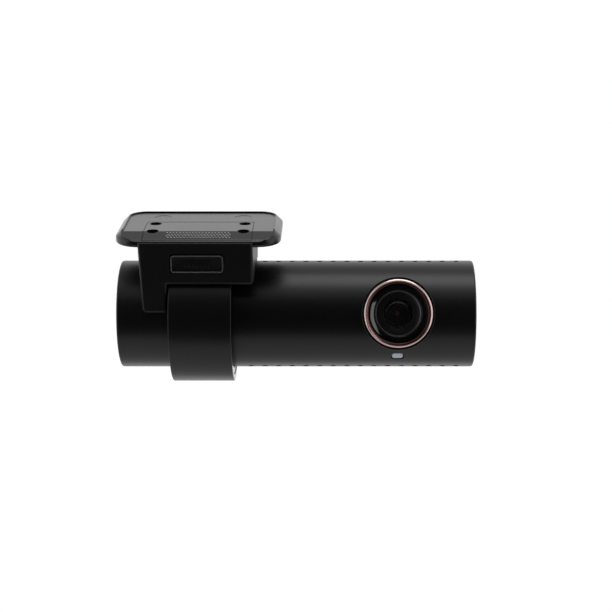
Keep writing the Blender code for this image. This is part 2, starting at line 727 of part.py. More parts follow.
def build_electronics(tube):
    on_board = BOARD_FRONT - GAP

    def component(name, x, z, height, look):
        """A flat component on the lens side of the main board."""
        return piece(name, block(x, (on_board - height, on_board), z), look, tube)

    component("processor", (30 * MM, 43 * MM), (-6.5 * MM, 6.5 * MM), 1.1 * MM, chip())
    component("gps_antenna", (6 * MM, 21 * MM), (-7.5 * MM, 7.5 * MM), 4.0 * MM,
              finish("ceramic", (0.62, 0.55, 0.45), 0.5))
    component("wifi_module", (50 * MM, 60 * MM), (-9 * MM, 3 * MM), 1.8 * MM, steel())
    component("microphone", (50 * MM, 53.5 * MM), (8.5 * MM, 11.5 * MM), 1.0 * MM, steel())
    pad_back = on_board - 1.1 * MM - GAP
    pad = block((30.5 * MM, 42.5 * MM), (pad_back - 0.8 * MM, pad_back), (-6 * MM, 6 * MM))
    piece("thermal_pad", pad, finish("thermal_pad", (0.35, 0.45, 0.6), 0.8), tube)
    base_back = pad_back - 0.8 * MM - GAP
    build_heat_sink(tube, base_back)
    cell_radius = 5.0 * MM
    profile = [(0.0, -12 * MM), (cell_radius, -12 * MM), (cell_radius, 11.5 * MM)]
    profile += [(cell_radius - 0.5 * MM, 12 * MM), (0.0, 12 * MM)]
    cell_look = finish("cell_sleeve", (0.05, 0.10, 0.25), 0.4)
    first = piece("backup_cell_1", along_x(turned(profile, 24)), cell_look, tube, (-10.5 * MM, -5 * MM, -5.6 * MM))
    copy_of(first, "backup_cell_2", (-10.5 * MM, -5 * MM, 5.6 * MM))
    cone = [(0.0, -1.6 * MM), (8 * MM, -1.6 * MM), (8 * MM, 1.6 * MM), (6.6 * MM, 1.6 * MM)]
    cone += [(3 * MM, 0.9 * MM), (0.0, 0.9 * MM)]
    piece("speaker", along_x(turned(cone, 32)), chip(), tube, (84.5 * MM, -3 * MM, 0.0))
    build_flex(tube)


def build_heat_sink(tube, back):
    """A base plate with fins towards the lens side, drawn in X and Y and swept along Z."""
    left, right = 26 * MM, 47 * MM
    base = 2.0 * MM
    fin, pitch, height = 1.2 * MM, 3.96 * MM, 10.0 * MM
    fins = 6
    outline = [(left, back)]
    for i in range(fins):
        start = left + pitch * i
        if i:
            outline.append((start, back - base))
        outline += [(start, back - height), (start + fin, back - height)]
        if i < fins - 1:
            outline.append((start + fin, back - base))
    outline.append((left + pitch * (fins - 1) + fin, back))
    shape = extruded(outline, -9.0 * MM, 9.0 * MM)
    piece("heat_sink", shape, finish("cast_aluminium", (0.5, 0.5, 0.5), 0.45, 1.0), tube)


def build_flex(tube):
    """The flat cable from behind the sensor board, round a bend and back to the main board."""
    near = 4.0 * MM
    far = BOARD_FRONT - GAP
    thickness = 0.25 * MM
    start, bend = 66.0 * MM, 76.0 * MM
    middle = (near + far) / 2
    steps = 6
    outer, inner = [], []
    for i in range(steps + 1):
        angle = -math.pi / 2 + math.pi * i / steps
        radius = (far - near) / 2
        outer.append((bend + radius * math.cos(angle), middle + radius * math.sin(angle)))
        radius -= thickness
        inner.append((bend + radius * math.cos(angle), middle + radius * math.sin(angle)))
    outline = [(start, near)] + outer + [(start, far), (start, far - thickness)]
    outline += inner[::-1] + [(start, near + thickness)]
    shape = extruded(outline, -4 * MM, 4 * MM)
    piece("sensor_flex_cable", shape, finish("flex_cable", (0.35, 0.16, 0.04), 0.4), tube)


def build_sockets(left):
    back = -CAP_THICKNESS - 2 * GAP
    for name, side, bore in (("dc_jack", -1, 1.7 * MM), ("rear_camera_socket", 1, 1.3 * MM)):
        deep = back - 7.0 * MM
        profile = [
            (0.0, back - 1.5 * MM),
            (0.45 * MM, back - 1.5 * MM),
            (0.45 * MM, deep),
            (bore, deep),
            (bore, back),
            (3.1 * MM, back),
            (3.1 * MM, deep - 2.0 * MM),
            (0.0, deep - 2.0 * MM),
        ]
        piece(name, turned(profile, 24), chip(), left, (side * JACK_OFFSET, JACK_Y, 0.0))
    front, end = -3.6 * MM, -18.8 * MM
    half_x, half_y = 6.4 * MM, 1.3 * MM
    wall = 0.5 * MM
    socket = piece("card_socket", block(
        (-half_x, half_x), (CARD_Y - half_y, CARD_Y + half_y), (end, front)
    ), steel(), left)
    cut(socket, block(
        (-half_x + wall, half_x - wall), (CARD_Y - half_y + wall, CARD_Y + half_y - wall), (end + wall, 0.0)
    ), left)


def build_card_and_door(left):
    half = 0.5 * MM
    card = block((-5.5 * MM, 5.5 * MM), (-half, half), (-17.0 * MM, -2.0 * MM))
    piece("microsd_card", card, finish("card_black", (0.02, 0.02, 0.02), 0.35), left, (0.0, CARD_Y, 0.0))
    hinge = (0.0, DOOR_LOW, -GAP - DOOR_THICKNESS / 2)
    radius = DOOR_THICKNESS / 2
    steps = 6
    outline = []
    for i in range(steps + 1):
        angle = math.pi / 2 + math.pi * i / steps
        outline.append((radius * math.cos(angle), radius * math.sin(angle)))
    outline += [(DOOR_HIGH - DOOR_LOW, -radius), (DOOR_HIGH - DOOR_LOW, radius)]
    shape = extruded(outline, -DOOR_HALF, DOOR_HALF)
    shape = turn(turn(shape, math.pi / 2, "Z"), math.pi / 2, "Y")
    piece("card_door", shape, black_plastic(), left, hinge)


def main():
    for obj in list(bpy.data.objects):
        bpy.data.objects.remove(obj, do_unlink=True)
    tube_axis = empty("tube_axis", at=(0.0, 0.0, -TUBE_DROP))
    tube = empty("tube", tube_axis, (TUBE_SHIFT, 0.0, 0.0), (LENS_ROLL, 0.0, 0.0))
    lens = empty("lens_axis", tube, (LENS_X, 0.0, 0.0), (math.pi / 2, 0.0, 0.0))
    led = empty("led_axis", tube, (LENS_X, 0.0, 0.0), (math.pi / 2 + LED_ANGLE, 0.0, 0.0))
    rear = empty("rear_side", tube, rotation=(-math.pi / 2, 0.0, 0.0))
    left = empty("left_end", tube, (TUBE_LEFT, 0.0, 0.0), (0.0, -math.pi / 2, 0.0))
    right = empty("right_end", tube, (TUBE_RIGHT, 0.0, 0.0), (0.0, math.pi / 2, 0.0))
    build_plate()
    housing = build_housing(tube_axis)
    ring = build_ring(tube_axis)
    build_ring_screws(housing, ring)
    build_lock()
    build_sleeve(tube)
    build_shell(tube, lens, led, rear)
    build_caps(left, right)
    build_lens(lens)
    build_lights(led, rear)
    build_buttons(rear)
    build_boards(tube)
    build_electronics(tube)
    build_sockets(left)
    build_card_and_door(left)


main()
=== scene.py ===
import json
import math

import bpy
from mathutils import Matrix, Vector


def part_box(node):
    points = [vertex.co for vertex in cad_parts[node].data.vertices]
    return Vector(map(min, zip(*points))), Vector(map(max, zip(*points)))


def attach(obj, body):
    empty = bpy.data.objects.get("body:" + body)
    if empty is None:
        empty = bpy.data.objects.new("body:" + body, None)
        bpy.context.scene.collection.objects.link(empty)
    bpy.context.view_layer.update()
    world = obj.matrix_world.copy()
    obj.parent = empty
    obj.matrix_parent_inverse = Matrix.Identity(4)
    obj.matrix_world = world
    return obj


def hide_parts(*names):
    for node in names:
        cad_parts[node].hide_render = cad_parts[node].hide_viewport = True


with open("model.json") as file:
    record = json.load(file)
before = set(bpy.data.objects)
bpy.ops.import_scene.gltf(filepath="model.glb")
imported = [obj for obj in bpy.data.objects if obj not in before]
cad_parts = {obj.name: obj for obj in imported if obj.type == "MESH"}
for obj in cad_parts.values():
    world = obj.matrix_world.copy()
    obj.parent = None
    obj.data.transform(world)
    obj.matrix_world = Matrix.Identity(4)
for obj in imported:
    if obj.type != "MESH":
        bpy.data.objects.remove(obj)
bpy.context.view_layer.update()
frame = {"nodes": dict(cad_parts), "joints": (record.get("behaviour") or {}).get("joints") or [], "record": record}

# Looks for the dash camera: smooth outer pieces, their finishes, and the studio round them.

mm = 0.001
joints = {joint["name"]: joint for joint in frame["joints"]}
nothing = 1e-6


# where things are, all worked out from the frame

def middleOf(node):
    low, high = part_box(node)
    return (low + high) / 2


lensWay = Vector(joints["wifi_press"]["axis"])  # the keys press the way that the lens looks
lensRoll = math.atan2(lensWay.z, -lensWay.y)
axisHeight = joints["tilt"]["pos_m"][2]
shellLow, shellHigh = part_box("camera_shell")
tubeLeft, tubeRight = shellLow.x, shellHigh.x
tubeRadius = (shellHigh.z - shellLow.z) / 2
axisFrame = Matrix.Translation((0, 0, axisHeight))
tubeFrame = axisFrame @ Matrix.Rotation(-lensRoll, 4, "X")
alongX = Matrix.Rotation(math.pi / 2, 4, "Y")
lensX = middleOf("trim_ring").x
lensFrame = tubeFrame @ Matrix.Translation((lensX, 0, 0)) @ Matrix.Rotation(math.pi / 2, 4, "X")
rearFrame = tubeFrame @ Matrix.Rotation(-math.pi / 2, 4, "X")
leftFrame = tubeFrame @ Matrix.Translation((tubeLeft, 0, 0)) @ Matrix.Rotation(-math.pi / 2, 4, "Y")
rightFrame = tubeFrame @ Matrix.Translation((tubeRight, 0, 0)) @ alongX


def inFrame(place, point):
    return place.inverted() @ Vector(point)


ledOffset = inFrame(tubeFrame, middleOf("security_led_window"))
ledTurn = math.atan2(-ledOffset.z, -ledOffset.y)
ledFrame = tubeFrame @ Matrix.Translation((lensX, 0, 0)) @ Matrix.Rotation(math.pi / 2 + ledTurn, 4, "X")


# modelling

def deselect():
    if bpy.context.object and bpy.context.object.mode != "OBJECT":
        bpy.ops.object.mode_set(mode="OBJECT")
    bpy.ops.object.select_all(action="DESELECT")


def pick(obj):
    deselect()
    obj.select_set(True)
    bpy.context.view_layer.objects.active = obj
    return obj


def named(name):
    obj = bpy.context.object
    obj.name = name
    obj.data.name = name
    return obj


def applyAll(obj, place=None):
    # puts the piece at its place and bakes that into the mesh
    pick(obj)
    if place is not None:
        obj.matrix_world = place @ obj.matrix_world
    bpy.ops.object.transform_apply(location=True, rotation=True, scale=True)
    return obj


def evenNormals(obj):
    # large faces stay flat in the light, next to their small rounds
    pick(obj)
    change = obj.modifiers.new("evenNormals", "WEIGHTED_NORMAL")
    change.keep_sharp = True
    bpy.ops.object.modifier_apply(modifier=change.name)
    return obj


def smooth(obj, angle=32):
    pick(obj)
    bpy.ops.object.shade_smooth_by_angle(angle=math.radians(angle))
    return obj


def arc(middle, height, radius, start, end, steps):
    # points of a round profile stretch, as (radius, height); angles in degrees from straight out
    points = []
    for i in range(steps + 1):
        a = math.radians(start + (end - start) * i / steps)
        points.append((middle + radius * math.cos(a), height + radius * math.sin(a)))
    return points


def lathe(name, profile, sides=96, hollow=False):
    # extrudes a circle up and down a profile; hollow closes it into a ring, else both ends are filled
    deselect()
    radius, height = profile[0]
    bpy.ops.mesh.primitive_circle_add(vertices=sides, radius=radius, location=(0, 0, height))
    obj = applyAll(named(name))
    bpy.ops.object.mode_set(mode="EDIT")
    bpy.ops.mesh.select_all(action="SELECT")
    route = profile[1:] + (profile[:1] if hollow else [])
    for nextRadius, nextHeight in route:
        bpy.ops.mesh.extrude_edges_move(TRANSFORM_OT_translate={"value": (0, 0, nextHeight - height)})
        k = nextRadius / radius
        bpy.ops.transform.resize(value=(k, k, 1), center_override=(0, 0, nextHeight))
        radius, height = nextRadius, nextHeight
    bpy.ops.mesh.select_all(action="SELECT")
    if hollow:
        bpy.ops.mesh.remove_doubles(threshold=nothing)
    else:
        bpy.ops.mesh.fill_holes(sides=0)
        bpy.ops.mesh.select_all(action="SELECT")
    bpy.ops.mesh.normals_make_consistent(inside=False)
    bpy.ops.object.mode_set(mode="OBJECT")
    return obj


def block(name, low, high):
    deselect()
    size = [b - a for a, b in zip(low, high)]
    centre = [(a + b) / 2 for a, b in zip(low, high)]
    bpy.ops.mesh.primitive_cube_add(size=1, location=centre, scale=size)
    return applyAll(named(name))


def selectNone(obj, kind):
    pick(obj)
    bpy.ops.object.mode_set(mode="EDIT")
    bpy.ops.mesh.select_mode(type=kind)
    bpy.ops.mesh.select_all(action="DESELECT")
    bpy.ops.object.mode_set(mode="OBJECT")


def bevelEdges(obj, wanted, width, steps=4):
    # wanted is asked about each edge's two ends
    selectNone(obj, "EDGE")
    points = obj.data.vertices
    for edge in obj.data.edges:
        a, b = (points[i].co for i in edge.vertices)
        edge.select = bool(wanted(a, b))
    bpy.ops.object.mode_set(mode="EDIT")
    bpy.ops.mesh.bevel(offset=width, segments=steps, affect="EDGES", clamp_overlap=False)
    bpy.ops.object.mode_set(mode="OBJECT")
    return obj


def pullFaces(obj, wanted, move):
    # extrudes the faces that wanted picks out, by centre and normal
    selectNone(obj, "FACE")
    for face in obj.data.polygons:
        face.select = bool(wanted(face.center, face.normal))
    bpy.ops.object.mode_set(mode="EDIT")
    bpy.ops.mesh.extrude_region_move(TRANSFORM_OT_translate={"value": move})
    bpy.ops.object.mode_set(mode="OBJECT")
    return obj


def upright(a, b):
    return (a - b).to_2d().length < nothing


def pill(name, length, width, low, high, steps=8):
    obj = block(name, (-length / 2, -width / 2, low), (length / 2, width / 2, high))
    return bevelEdges(obj, upright, width / 2 * 0.999, steps)


def carve(obj, tool, operation="DIFFERENCE", place=None):
    if place is not None:
        applyAll(tool, place)
    pick(obj)
    change = obj.modifiers.new("carve", "BOOLEAN")
    change.operation = operation
    change.object = tool
    bpy.ops.object.modifier_apply(modifier=change.name)
    bpy.data.objects.remove(tool, do_unlink=True)
    return obj


def softEdges(obj, width, steps=2, angle=40):
    pick(obj)
    change = obj.modifiers.new("softEdges", "BEVEL")
    change.width = width
    change.segments = steps
    change.limit_method = "ANGLE"
    change.angle_limit = math.radians(angle)
    change.use_clamp_overlap = True
    bpy.ops.object.modifier_apply(modifier=change.name)
    return obj


def copyOf(obj, name, move=(0, 0, 0)):
    other = obj.copy()
    other.data = obj.data.copy()
    other.name = other.data.name = name
    bpy.context.scene.collection.objects.link(other)
    other.data.transform(Matrix.Translation(move))
    return other


def dome(radius, edge, rise, steps):
    # the bulge of a lens, as points of a profile
    points = []
    for i in range(1, steps):
        a = math.pi / 2 * i / steps
        points.append((radius * math.cos(a), edge + rise * math.sin(a)))
    return points


def joined(objects, name):
    deselect()
    for obj in objects:
        obj.select_set(True)
    bpy.context.view_layer.objects.active = objects[0]
    bpy.ops.object.join()
    return named(name)


def paint(obj, *looks):
    obj.data.materials.clear()
    for look in looks:
        obj.data.materials.append(look)
    return obj


def lookOn(obj, slotNumber, wanted):
    # gives the faces that wanted picks out, by centre and normal, another of the piece's materials
    for face in obj.data.polygons:
        if wanted(face.center, face.normal):
            face.material_index = slotNumber


def done(obj, body, slotName, *nodes):
    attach(obj, body)
    if nodes:
        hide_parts(*nodes)


def finish(obj, body, slotName, *nodes):
    # for a piece that is all in its slot's own finish
    done(paint(obj, finishes[slotName]), body, slotName, *nodes)


# materials

class Wire:
    # a socket's output that can be written in sums
    def __init__(self, sheet, socket):
        self.sheet = sheet
        self.socket = socket

    def sum(self, operation, first, second):
        return self.sheet.node("ShaderNodeMath", {"operation": operation}, {0: first, 1: second})

    def __add__(self, other):
        return self.sum("ADD", self, other)

    def __radd__(self, other):
        return self.sum("ADD", other, self)

    def __sub__(self, other):
        return self.sum("SUBTRACT", self, other)

    def __mul__(self, other):
        return self.sum("MULTIPLY", self, other)

    def __rmul__(self, other):
        return self.sum("MULTIPLY", other, self)

    def __gt__(self, other):
        return self.sum("GREATER_THAN", self, other)

    def __lt__(self, other):
        return self.sum("LESS_THAN", self, other)

    def __pow__(self, other):
        return self.sum("POWER", self, other)


class Sheet:
    # one material's node tree
    def __init__(self, name, colour, roughness, metallic=0.0, **fixed):
        self.material = bpy.data.materials.new(name)
        self.material.use_nodes = True
        self.tree = self.material.node_tree
        self.shader = self.tree.nodes["Principled BSDF"]
        self.set("Base Color", (*colour, 1.0))
        self.set("Roughness", roughness)
        self.set("Metallic", metallic)
        for socket, value in fixed.items():
            self.set(socket.replace("_", " "), value)
        self.where = self.node("ShaderNodeTexCoord", {}, {}, "Object")

    def set(self, socket, value):
        if isinstance(value, Wire):
            self.tree.links.new(value.socket, self.shader.inputs[socket])
        else:
            self.shader.inputs[socket].default_value = value

    def node(self, kind, settings, sockets, out=0):
        made = self.tree.nodes.new(kind)
        for setting, value in settings.items():
            if setting == "stops":
                while len(made.color_ramp.elements) < len(value):
                    made.color_ramp.elements.new(0.5)
                for stop, (position, shade) in zip(made.color_ramp.elements, value):
                    stop.position = position
                    stop.color = (*shade, 1.0)
            else:
                setattr(made, setting, value)
        for socket, value in sockets.items():
            if isinstance(value, Wire):
                self.tree.links.new(value.socket, made.inputs[socket])
            else:
                made.inputs[socket].default_value = value
        return Wire(self, made.outputs[out])

    def noise(self, scale, detail=3.0, roughness=0.5):
        return self.node("ShaderNodeTexNoise", {}, {
            "Vector": self.where, "Scale": scale, "Detail": detail, "Roughness": roughness,
        })

    def grains(self, scale):
        return self.node("ShaderNodeTexVoronoi", {"feature": "F1"}, {"Vector": self.where, "Scale": scale})

    def ramp(self, factor, stops):
        return self.node("ShaderNodeValToRGB", {"stops": stops}, {"Fac": factor})

    def mix(self, factor, first, second):
        return self.node("ShaderNodeMix", {"data_type": "RGBA"}, {
            "Factor": factor, 6: (*first, 1.0) if isinstance(first, tuple) else first,
            7: (*second, 1.0) if isinstance(second, tuple) else second,
        }, 2)

    def bump(self, height, distance, strength=1.0):
        sockets = {"Height": height, "Distance": distance, "Strength": strength}
        self.set("Normal", self.node("ShaderNodeBump", {}, sockets))

    def apart(self, vector=None):
        made = self.node("ShaderNodeSeparateXYZ", {}, {"Vector": vector or self.where})
        return [Wire(self, made.socket.node.outputs[i]) for i in range(3)]

    def moved(self, place):
        # the Object coordinates, turned and shifted into another frame
        back = place.inverted()
        return self.node("ShaderNodeMapping", {}, {
            "Vector": self.where, "Location": back.to_translation(), "Rotation": back.to_euler(),
        })


blackLook = {
    "patchScale": 55.0,
    "fineScale": 900.0,
    "fineSpread": 0.05,
    "speckScale": 420.0,
    "speckSize": 0.09,
    "dustFrom": 0.56,
    "base": (1, 1, 1.04),  # each a share of the shade
    "dark": (0.8, 0.8, 0.84),
    "light": (1.25, 1.25, 1.3),
}


def blackFinish(name, shade, roughness, spread, grainScale, grainDepth, dust=0.004, **fixed):
    # moulded or coated black: fine grain, uneven sheen, a little settled dust
    look = blackLook
    base, dark, light = (tuple(shade * part for part in look[key]) for key in ("base", "dark", "light"))
    sheet = Sheet(name, base, roughness, **fixed)
    patches = sheet.noise(look["patchScale"], 4.0)
    fine = sheet.noise(look["fineScale"], 2.0)
    sheet.set("Roughness", roughness - spread / 2 + spread * patches + look["fineSpread"] * (fine - 0.5))
    specks = sheet.grains(look["speckScale"])
    dusty = (specks < look["speckSize"]) * (patches > look["dustFrom"])
    colour = sheet.mix(patches, dark, light)
    sheet.set("Base Color", sheet.mix(dusty, colour, (shade + dust, shade + dust, shade + dust)))
    grain = sheet.noise(grainScale, 3.0, 0.6)
    sheet.bump(grain, grainDepth)
    return sheet.material


def plainFinish(name, colour, roughness, metallic=0.0, vary=0.12, scale=400.0, depth=0.00002, **fixed):
    # any other solid colour: slightly mottled, with its own fine bump
    sheet = Sheet(name, colour, roughness, metallic, **fixed)
    cloud = sheet.noise(scale, 4.0)
    dark = tuple(c * (1 - vary) for c in colour)
    light = tuple(min(1.0, c * (1 + vary)) for c in colour)
    sheet.set("Base Color", sheet.mix(cloud, dark, light))
    sheet.set("Roughness", roughness * (0.8 + 0.4 * cloud))
    sheet.bump(sheet.noise(scale * 6, 2.0), depth)
    return sheet.material


def turnedMetal(name, colour, roughness, place):
    # plated metal with faint turning marks round an axis
    sheet = Sheet(name, colour, roughness, 1.0)
    x, y, z = sheet.apart(sheet.moved(place))
    radius = (x * x + y * y) ** 0.5
    marks = sheet.node("ShaderNodeTexNoise", {"noise_dimensions": "1D"}, {
        "W": radius * 9000.0 + z * 4000.0, "Scale": 1.0, "Detail": 2.0,
    })
    cloud = sheet.noise(260.0, 3.0)
    sheet.set("Roughness", roughness + 0.07 * (marks - 0.5) + 0.06 * (cloud - 0.5))
    deep = tuple(c * 0.93 for c in colour)
    sheet.set("Base Color", sheet.mix(cloud, deep, colour))
    sheet.bump(marks, 0.000004)
    return sheet.material


def boardFinish(name, colour):
    # solder resist over copper tracks: a lattice of fine lines with pads
    sheet = Sheet(name, colour, 0.42, Coat_Weight=0.3, Coat_Roughness=0.2)
    x = sheet.apart()[0]
    across = sheet.node("ShaderNodeMath", {"operation": "FRACT"}, {0: x * 420.0}) < 0.35
    cells = sheet.grains(240.0)
    tracks = across * (sheet.noise(120.0, 1.0) > 0.52)
    pads = cells < 0.16
    light = tuple(min(1.0, c * 2.2 + 0.01) for c in colour)
    mixed = sheet.mix(tracks, colour, light)
    sheet.set("Base Color", sheet.mix(pads, mixed, (0.55, 0.52, 0.42)))
    sheet.set("Metallic", pads * 0.8)
    sheet.bump(tracks + pads, 0.00002)
    return sheet.material


print("making finishes")
finishes = {
    "satin_black": blackFinish("satinBlack", 0.0018, 0.36, 0.05, 5200.0, 0.000006),
    "housing_black": blackFinish("housingBlack", 0.0012, 0.44, 0.06, 3800.0, 0.00001,
                                 Specular_IOR_Level=0.38),
    "plate_black": blackFinish("plateBlack", 0.0052, 0.25, 0.05, 2600.0, 0.000004),
    "sleeve_black": blackFinish("sleeveBlack", 0.005, 0.42, 0.06, 3000.0, 0.00001),
    "cap_black": blackFinish("capBlack", 0.005, 0.48, 0.08, 2400.0, 0.00003),
    "barrel_black": blackFinish("barrelBlack", 0.002, 0.38, 0.06, 5000.0, 0.000006,
                                Specular_IOR_Level=0.22),
    "card_black": blackFinish("cardBlack", 0.012, 0.4, 0.06, 3000.0, 0.00001),
    "chip": blackFinish("chipBlack", 0.02, 0.5, 0.08, 4200.0, 0.00002),
    "gloss_black": blackFinish("glossBlack", 0.0025, 0.07, 0.02, 900.0, 0.000001, 0.002),
    "rose_gold": turnedMetal("roseGold", (0.83, 0.62, 0.59), 0.22, lensFrame),
    "steel": plainFinish("plainSteel", (0.52, 0.52, 0.53), 0.32, 1.0),
    "cast_aluminium": plainFinish("castAluminium", (0.6, 0.6, 0.6), 0.45, 1.0, 0.1, 900.0, 0.00004),
    "circuit_board": boardFinish("circuitBoard", (0.01, 0.09, 0.04)),
    "thermal_pad": plainFinish("thermalPad", (0.30, 0.42, 0.58), 0.8),
    "flex_amber": plainFinish("flexAmber", (0.42, 0.18, 0.03), 0.3, Coat_Weight=0.4),
    "cell_sleeve": plainFinish("cellSleeve", (0.03, 0.07, 0.2), 0.3, Coat_Weight=0.3),
    "ceramic": plainFinish("firedCeramic", (0.6, 0.52, 0.4), 0.5),
    "led_chip": plainFinish("ledChip", (0.8, 0.78, 0.66), 0.35),
    "smoke_window": blackFinish("smokeWindow", 0.008, 0.12, 0.04, 1200.0, 0.000002, 0.002,
                                Coat_Weight=0.6),
    "light_pipe": plainFinish("lightPipe", (0.38, 0.42, 0.49), 0.3, 0.0, 0.06, 300.0, 0.00001,
                              Coat_Weight=0.5),
}


def lensGlass():
    sheet = Sheet("coatedGlass", (0.96, 0.94, 0.98), 0.01, 0.0, Transmission_Weight=1.0, IOR=1.52)
    sheet.set("Roughness", 0.01 + 0.02 * (sheet.noise(400.0, 3.0) > 0.68))
    sheet.bump(sheet.noise(120.0, 2.0), 0.0000006)
    return sheet.material


def paintedReflectionGlass():
    # painted reflection: the inner element's colour runs from a dull red in the middle to near black at its edge,
    # in place of the red glint of its coating
    sheet = Sheet("innerGlass", (0.10, 0.02, 0.03), 0.12, 0.0, Coat_Weight=0.8, Coat_Roughness=0.02)
    x, y = sheet.apart(sheet.moved(lensFrame))[:2]
    radius = (x * x + y * y) ** 0.5
    stops = [(0.0, (0.46, 0.20, 0.20)), (0.35, (0.20, 0.03, 0.04)), (0.8, (0.01, 0.004, 0.008))]
    sheet.set("Base Color", sheet.ramp(radius * 400.0, stops))
    sheet.set("Metallic", 0.5 + 0.2 * sheet.noise(700.0))
    return sheet.material


def paintedHighlightFinish(name, shade):
    # a lighter, partly metallic finish that paints highlights onto rims and dots
    sheet = Sheet(name, (shade, shade, shade * 1.03), 0.22, 0.6)
    sheet.set("Roughness", 0.18 + 0.12 * sheet.noise(600.0))
    sheet.bump(sheet.noise(3000.0), 0.000004)
    return sheet.material


finishes["lens_glass"] = lensGlass()
sideGloss = blackFinish("sideGloss", 0.003, 0.12, 0.04, 2400.0, 0.000003)
blackenedSteel = plainFinish("blackenedSteel", (0.012, 0.012, 0.013), 0.34, 0.5)
# painted shade: a darker rose for the trim ring's inner lip
roseLipPaintedShade = turnedMetal("roseLipPaintedShade", (0.18, 0.09, 0.085), 0.3, lensFrame)
# painted reflection: the inner glass's material has a red centre painted in
innerGlass = paintedReflectionGlass()
# painted highlight: a lighter finish for the lock key's rim
keyRimPaintedHighlight = paintedHighlightFinish("keyRimPaintedHighlight", 0.16)
# painted highlight: a lighter finish for the lid's dots
dotsPaintedHighlight = paintedHighlightFinish("dotsPaintedHighlight", 0.45)
# painted highlight: a lighter finish for the lens barrel's front rim
barrelRimPaintedHighlight = paintedHighlightFinish("barrelRimPaintedHighlight", 0.22)


# the bracket: plate, lid, screws, housing, ring

print("modelling the bracket")
plateLow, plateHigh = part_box("mount_plate")
lidLow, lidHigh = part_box("bracket_lid")
plate = {
    "corner": 8.0 * mm,
    "slope": 2.1 * mm,
    "underRound": 1.0 * mm,
    "soft": 0.22 * mm,
    "frontSlope": (-9.7 * mm, 0.0, 14.5),  # where it starts, as y and z, and its angle
    "frontBand": (-16.7 * mm, -1.81 * mm, 40.0),
    "rimWidth": 0.45 * mm,
    "rimHeight": 0.42 * mm,
    "seam": 0.16 * mm,
    "backSeam": 0.38 * mm,
    "padRadius": 2.9 * mm,
    "padDepth": 0.08 * mm,
    "padPlaces": ((-13.4 * mm, 8.0 * mm), (13.8 * mm, 8.0 * mm)),
    "crisp": 0.06 * mm,
    "shankRoom": 1.1 * mm,
    "wedgeSize": (40 * mm, 30 * mm, 20 * mm),
    "screwHole": 1.95 * mm,
    "screwSeat": 1.6 * mm,
    "screwSink": 0.8 * mm,
}


def plateBlank(name):
    obj = block(name, (plateLow.x, plateLow.y, plateLow.z), (plateHigh.x, plateHigh.y, plateHigh.z))
    bevelEdges(obj, upright, plate["corner"], 16)
    bevelEdges(obj, lambda a, b: min(a.z, b.z) > plateHigh.z - nothing, plate["slope"], 1)
    bevelEdges(obj, lambda a, b: max(a.z, b.z) < plateLow.z + nothing, plate["underRound"], 9)
    shoulder = plateHigh.z - plate["slope"]
    bevelEdges(obj, lambda a, b: max(abs(a.z - shoulder), abs(b.z - shoulder)) < nothing, plate["soft"], 5)
    inset = plate["slope"] + plate["rimWidth"]
    tray = block("tray", (plateLow.x + inset, plateLow.y - mm, -plate["rimHeight"]),
                 (plateHigh.x - inset, plateHigh.y - inset, mm))
    bevelEdges(tray, lambda a, b: upright(a, b) and min(a.y, b.y) > 0, plate["corner"] - inset, 12)
    carve(obj, tray)
    for y, z, slope in (plate["frontSlope"], plate["frontBand"]):
        wide, deep, tall = plate["wedgeSize"]
        wedge = block("wedge", (-wide, -deep, 0), (wide, 0, tall))
        turned = Matrix.Rotation(math.radians(slope), 4, "X")
        carve(obj, wedge, place=Matrix.Translation((0, y, z)) @ turned)
    return obj


def screwPlaces():
    return [middleOf(f"lid_screw_{i}").to_2d() for i in range(1, 5)]


def screwTools(name, radius, low, high):
    tools = []
    for i, place in enumerate(screwPlaces()):
        profile = [(radius, low), (radius, high - radius * 0.25), (radius * 1.2, high)]
        tool = lathe(f"{name}{i}", profile, 40)
        tool.data.transform(Matrix.Translation((place.x, place.y, 0)))
        tools.append(tool)
    return joined(tools, name)


def makePlate():
    seam = plate["seam"] / 2
    back = lidHigh.y
    obj = plateBlank("mountPlate")
    room = block("lidRoom", (lidLow.x - seam, plateLow.y - 2 * mm, lidLow.z),
                 (lidHigh.x + seam, back + plate["backSeam"], 2 * mm))
    carve(obj, room)
    for x, y in plate["padPlaces"]:
        foot = -plate["rimHeight"] - plate["padDepth"]
        tool = lathe("padTool", [(plate["padRadius"], foot), (plate["padRadius"] * 1.04, mm)], 48)
        carve(obj, tool, place=Matrix.Translation((x, y, 0)))
    carve(obj, screwTools("shanks", plate["shankRoom"], plateLow.z - mm, mm))
    smooth(softEdges(obj, plate["crisp"], 2, 50), 11)
    finish(obj, "bracket", "plate_black", "mount_plate")
    lid = plateBlank("bracketLid")
    keep = block("lidArea", (lidLow.x + seam, plateLow.y - 2 * mm, lidLow.z + seam),
                 (lidHigh.x - seam, back - seam, 2 * mm))
    carve(lid, keep, "INTERSECT")
    carve(lid, screwTools("heads", plate["screwHole"], -plate["screwSeat"], 0.05 * mm))
    carve(lid, screwTools("lidShanks", plate["shankRoom"], plateLow.z - mm, -mm))
    smooth(softEdges(lid, plate["crisp"], 2, 50), 11)
    finish(lid, "bracket", "plate_black", "bracket_lid")


screwHead = {
    "radius": 1.5 * mm,
    "height": 0.7 * mm,
    "edge": 0.3 * mm,
    "slot": 0.34 * mm,
    "slotReach": 0.68,  # as a share of the head's radius
    "slotDepth": 0.45 * mm,
    "shank": 0.8 * mm,
    "turn": 353,
}


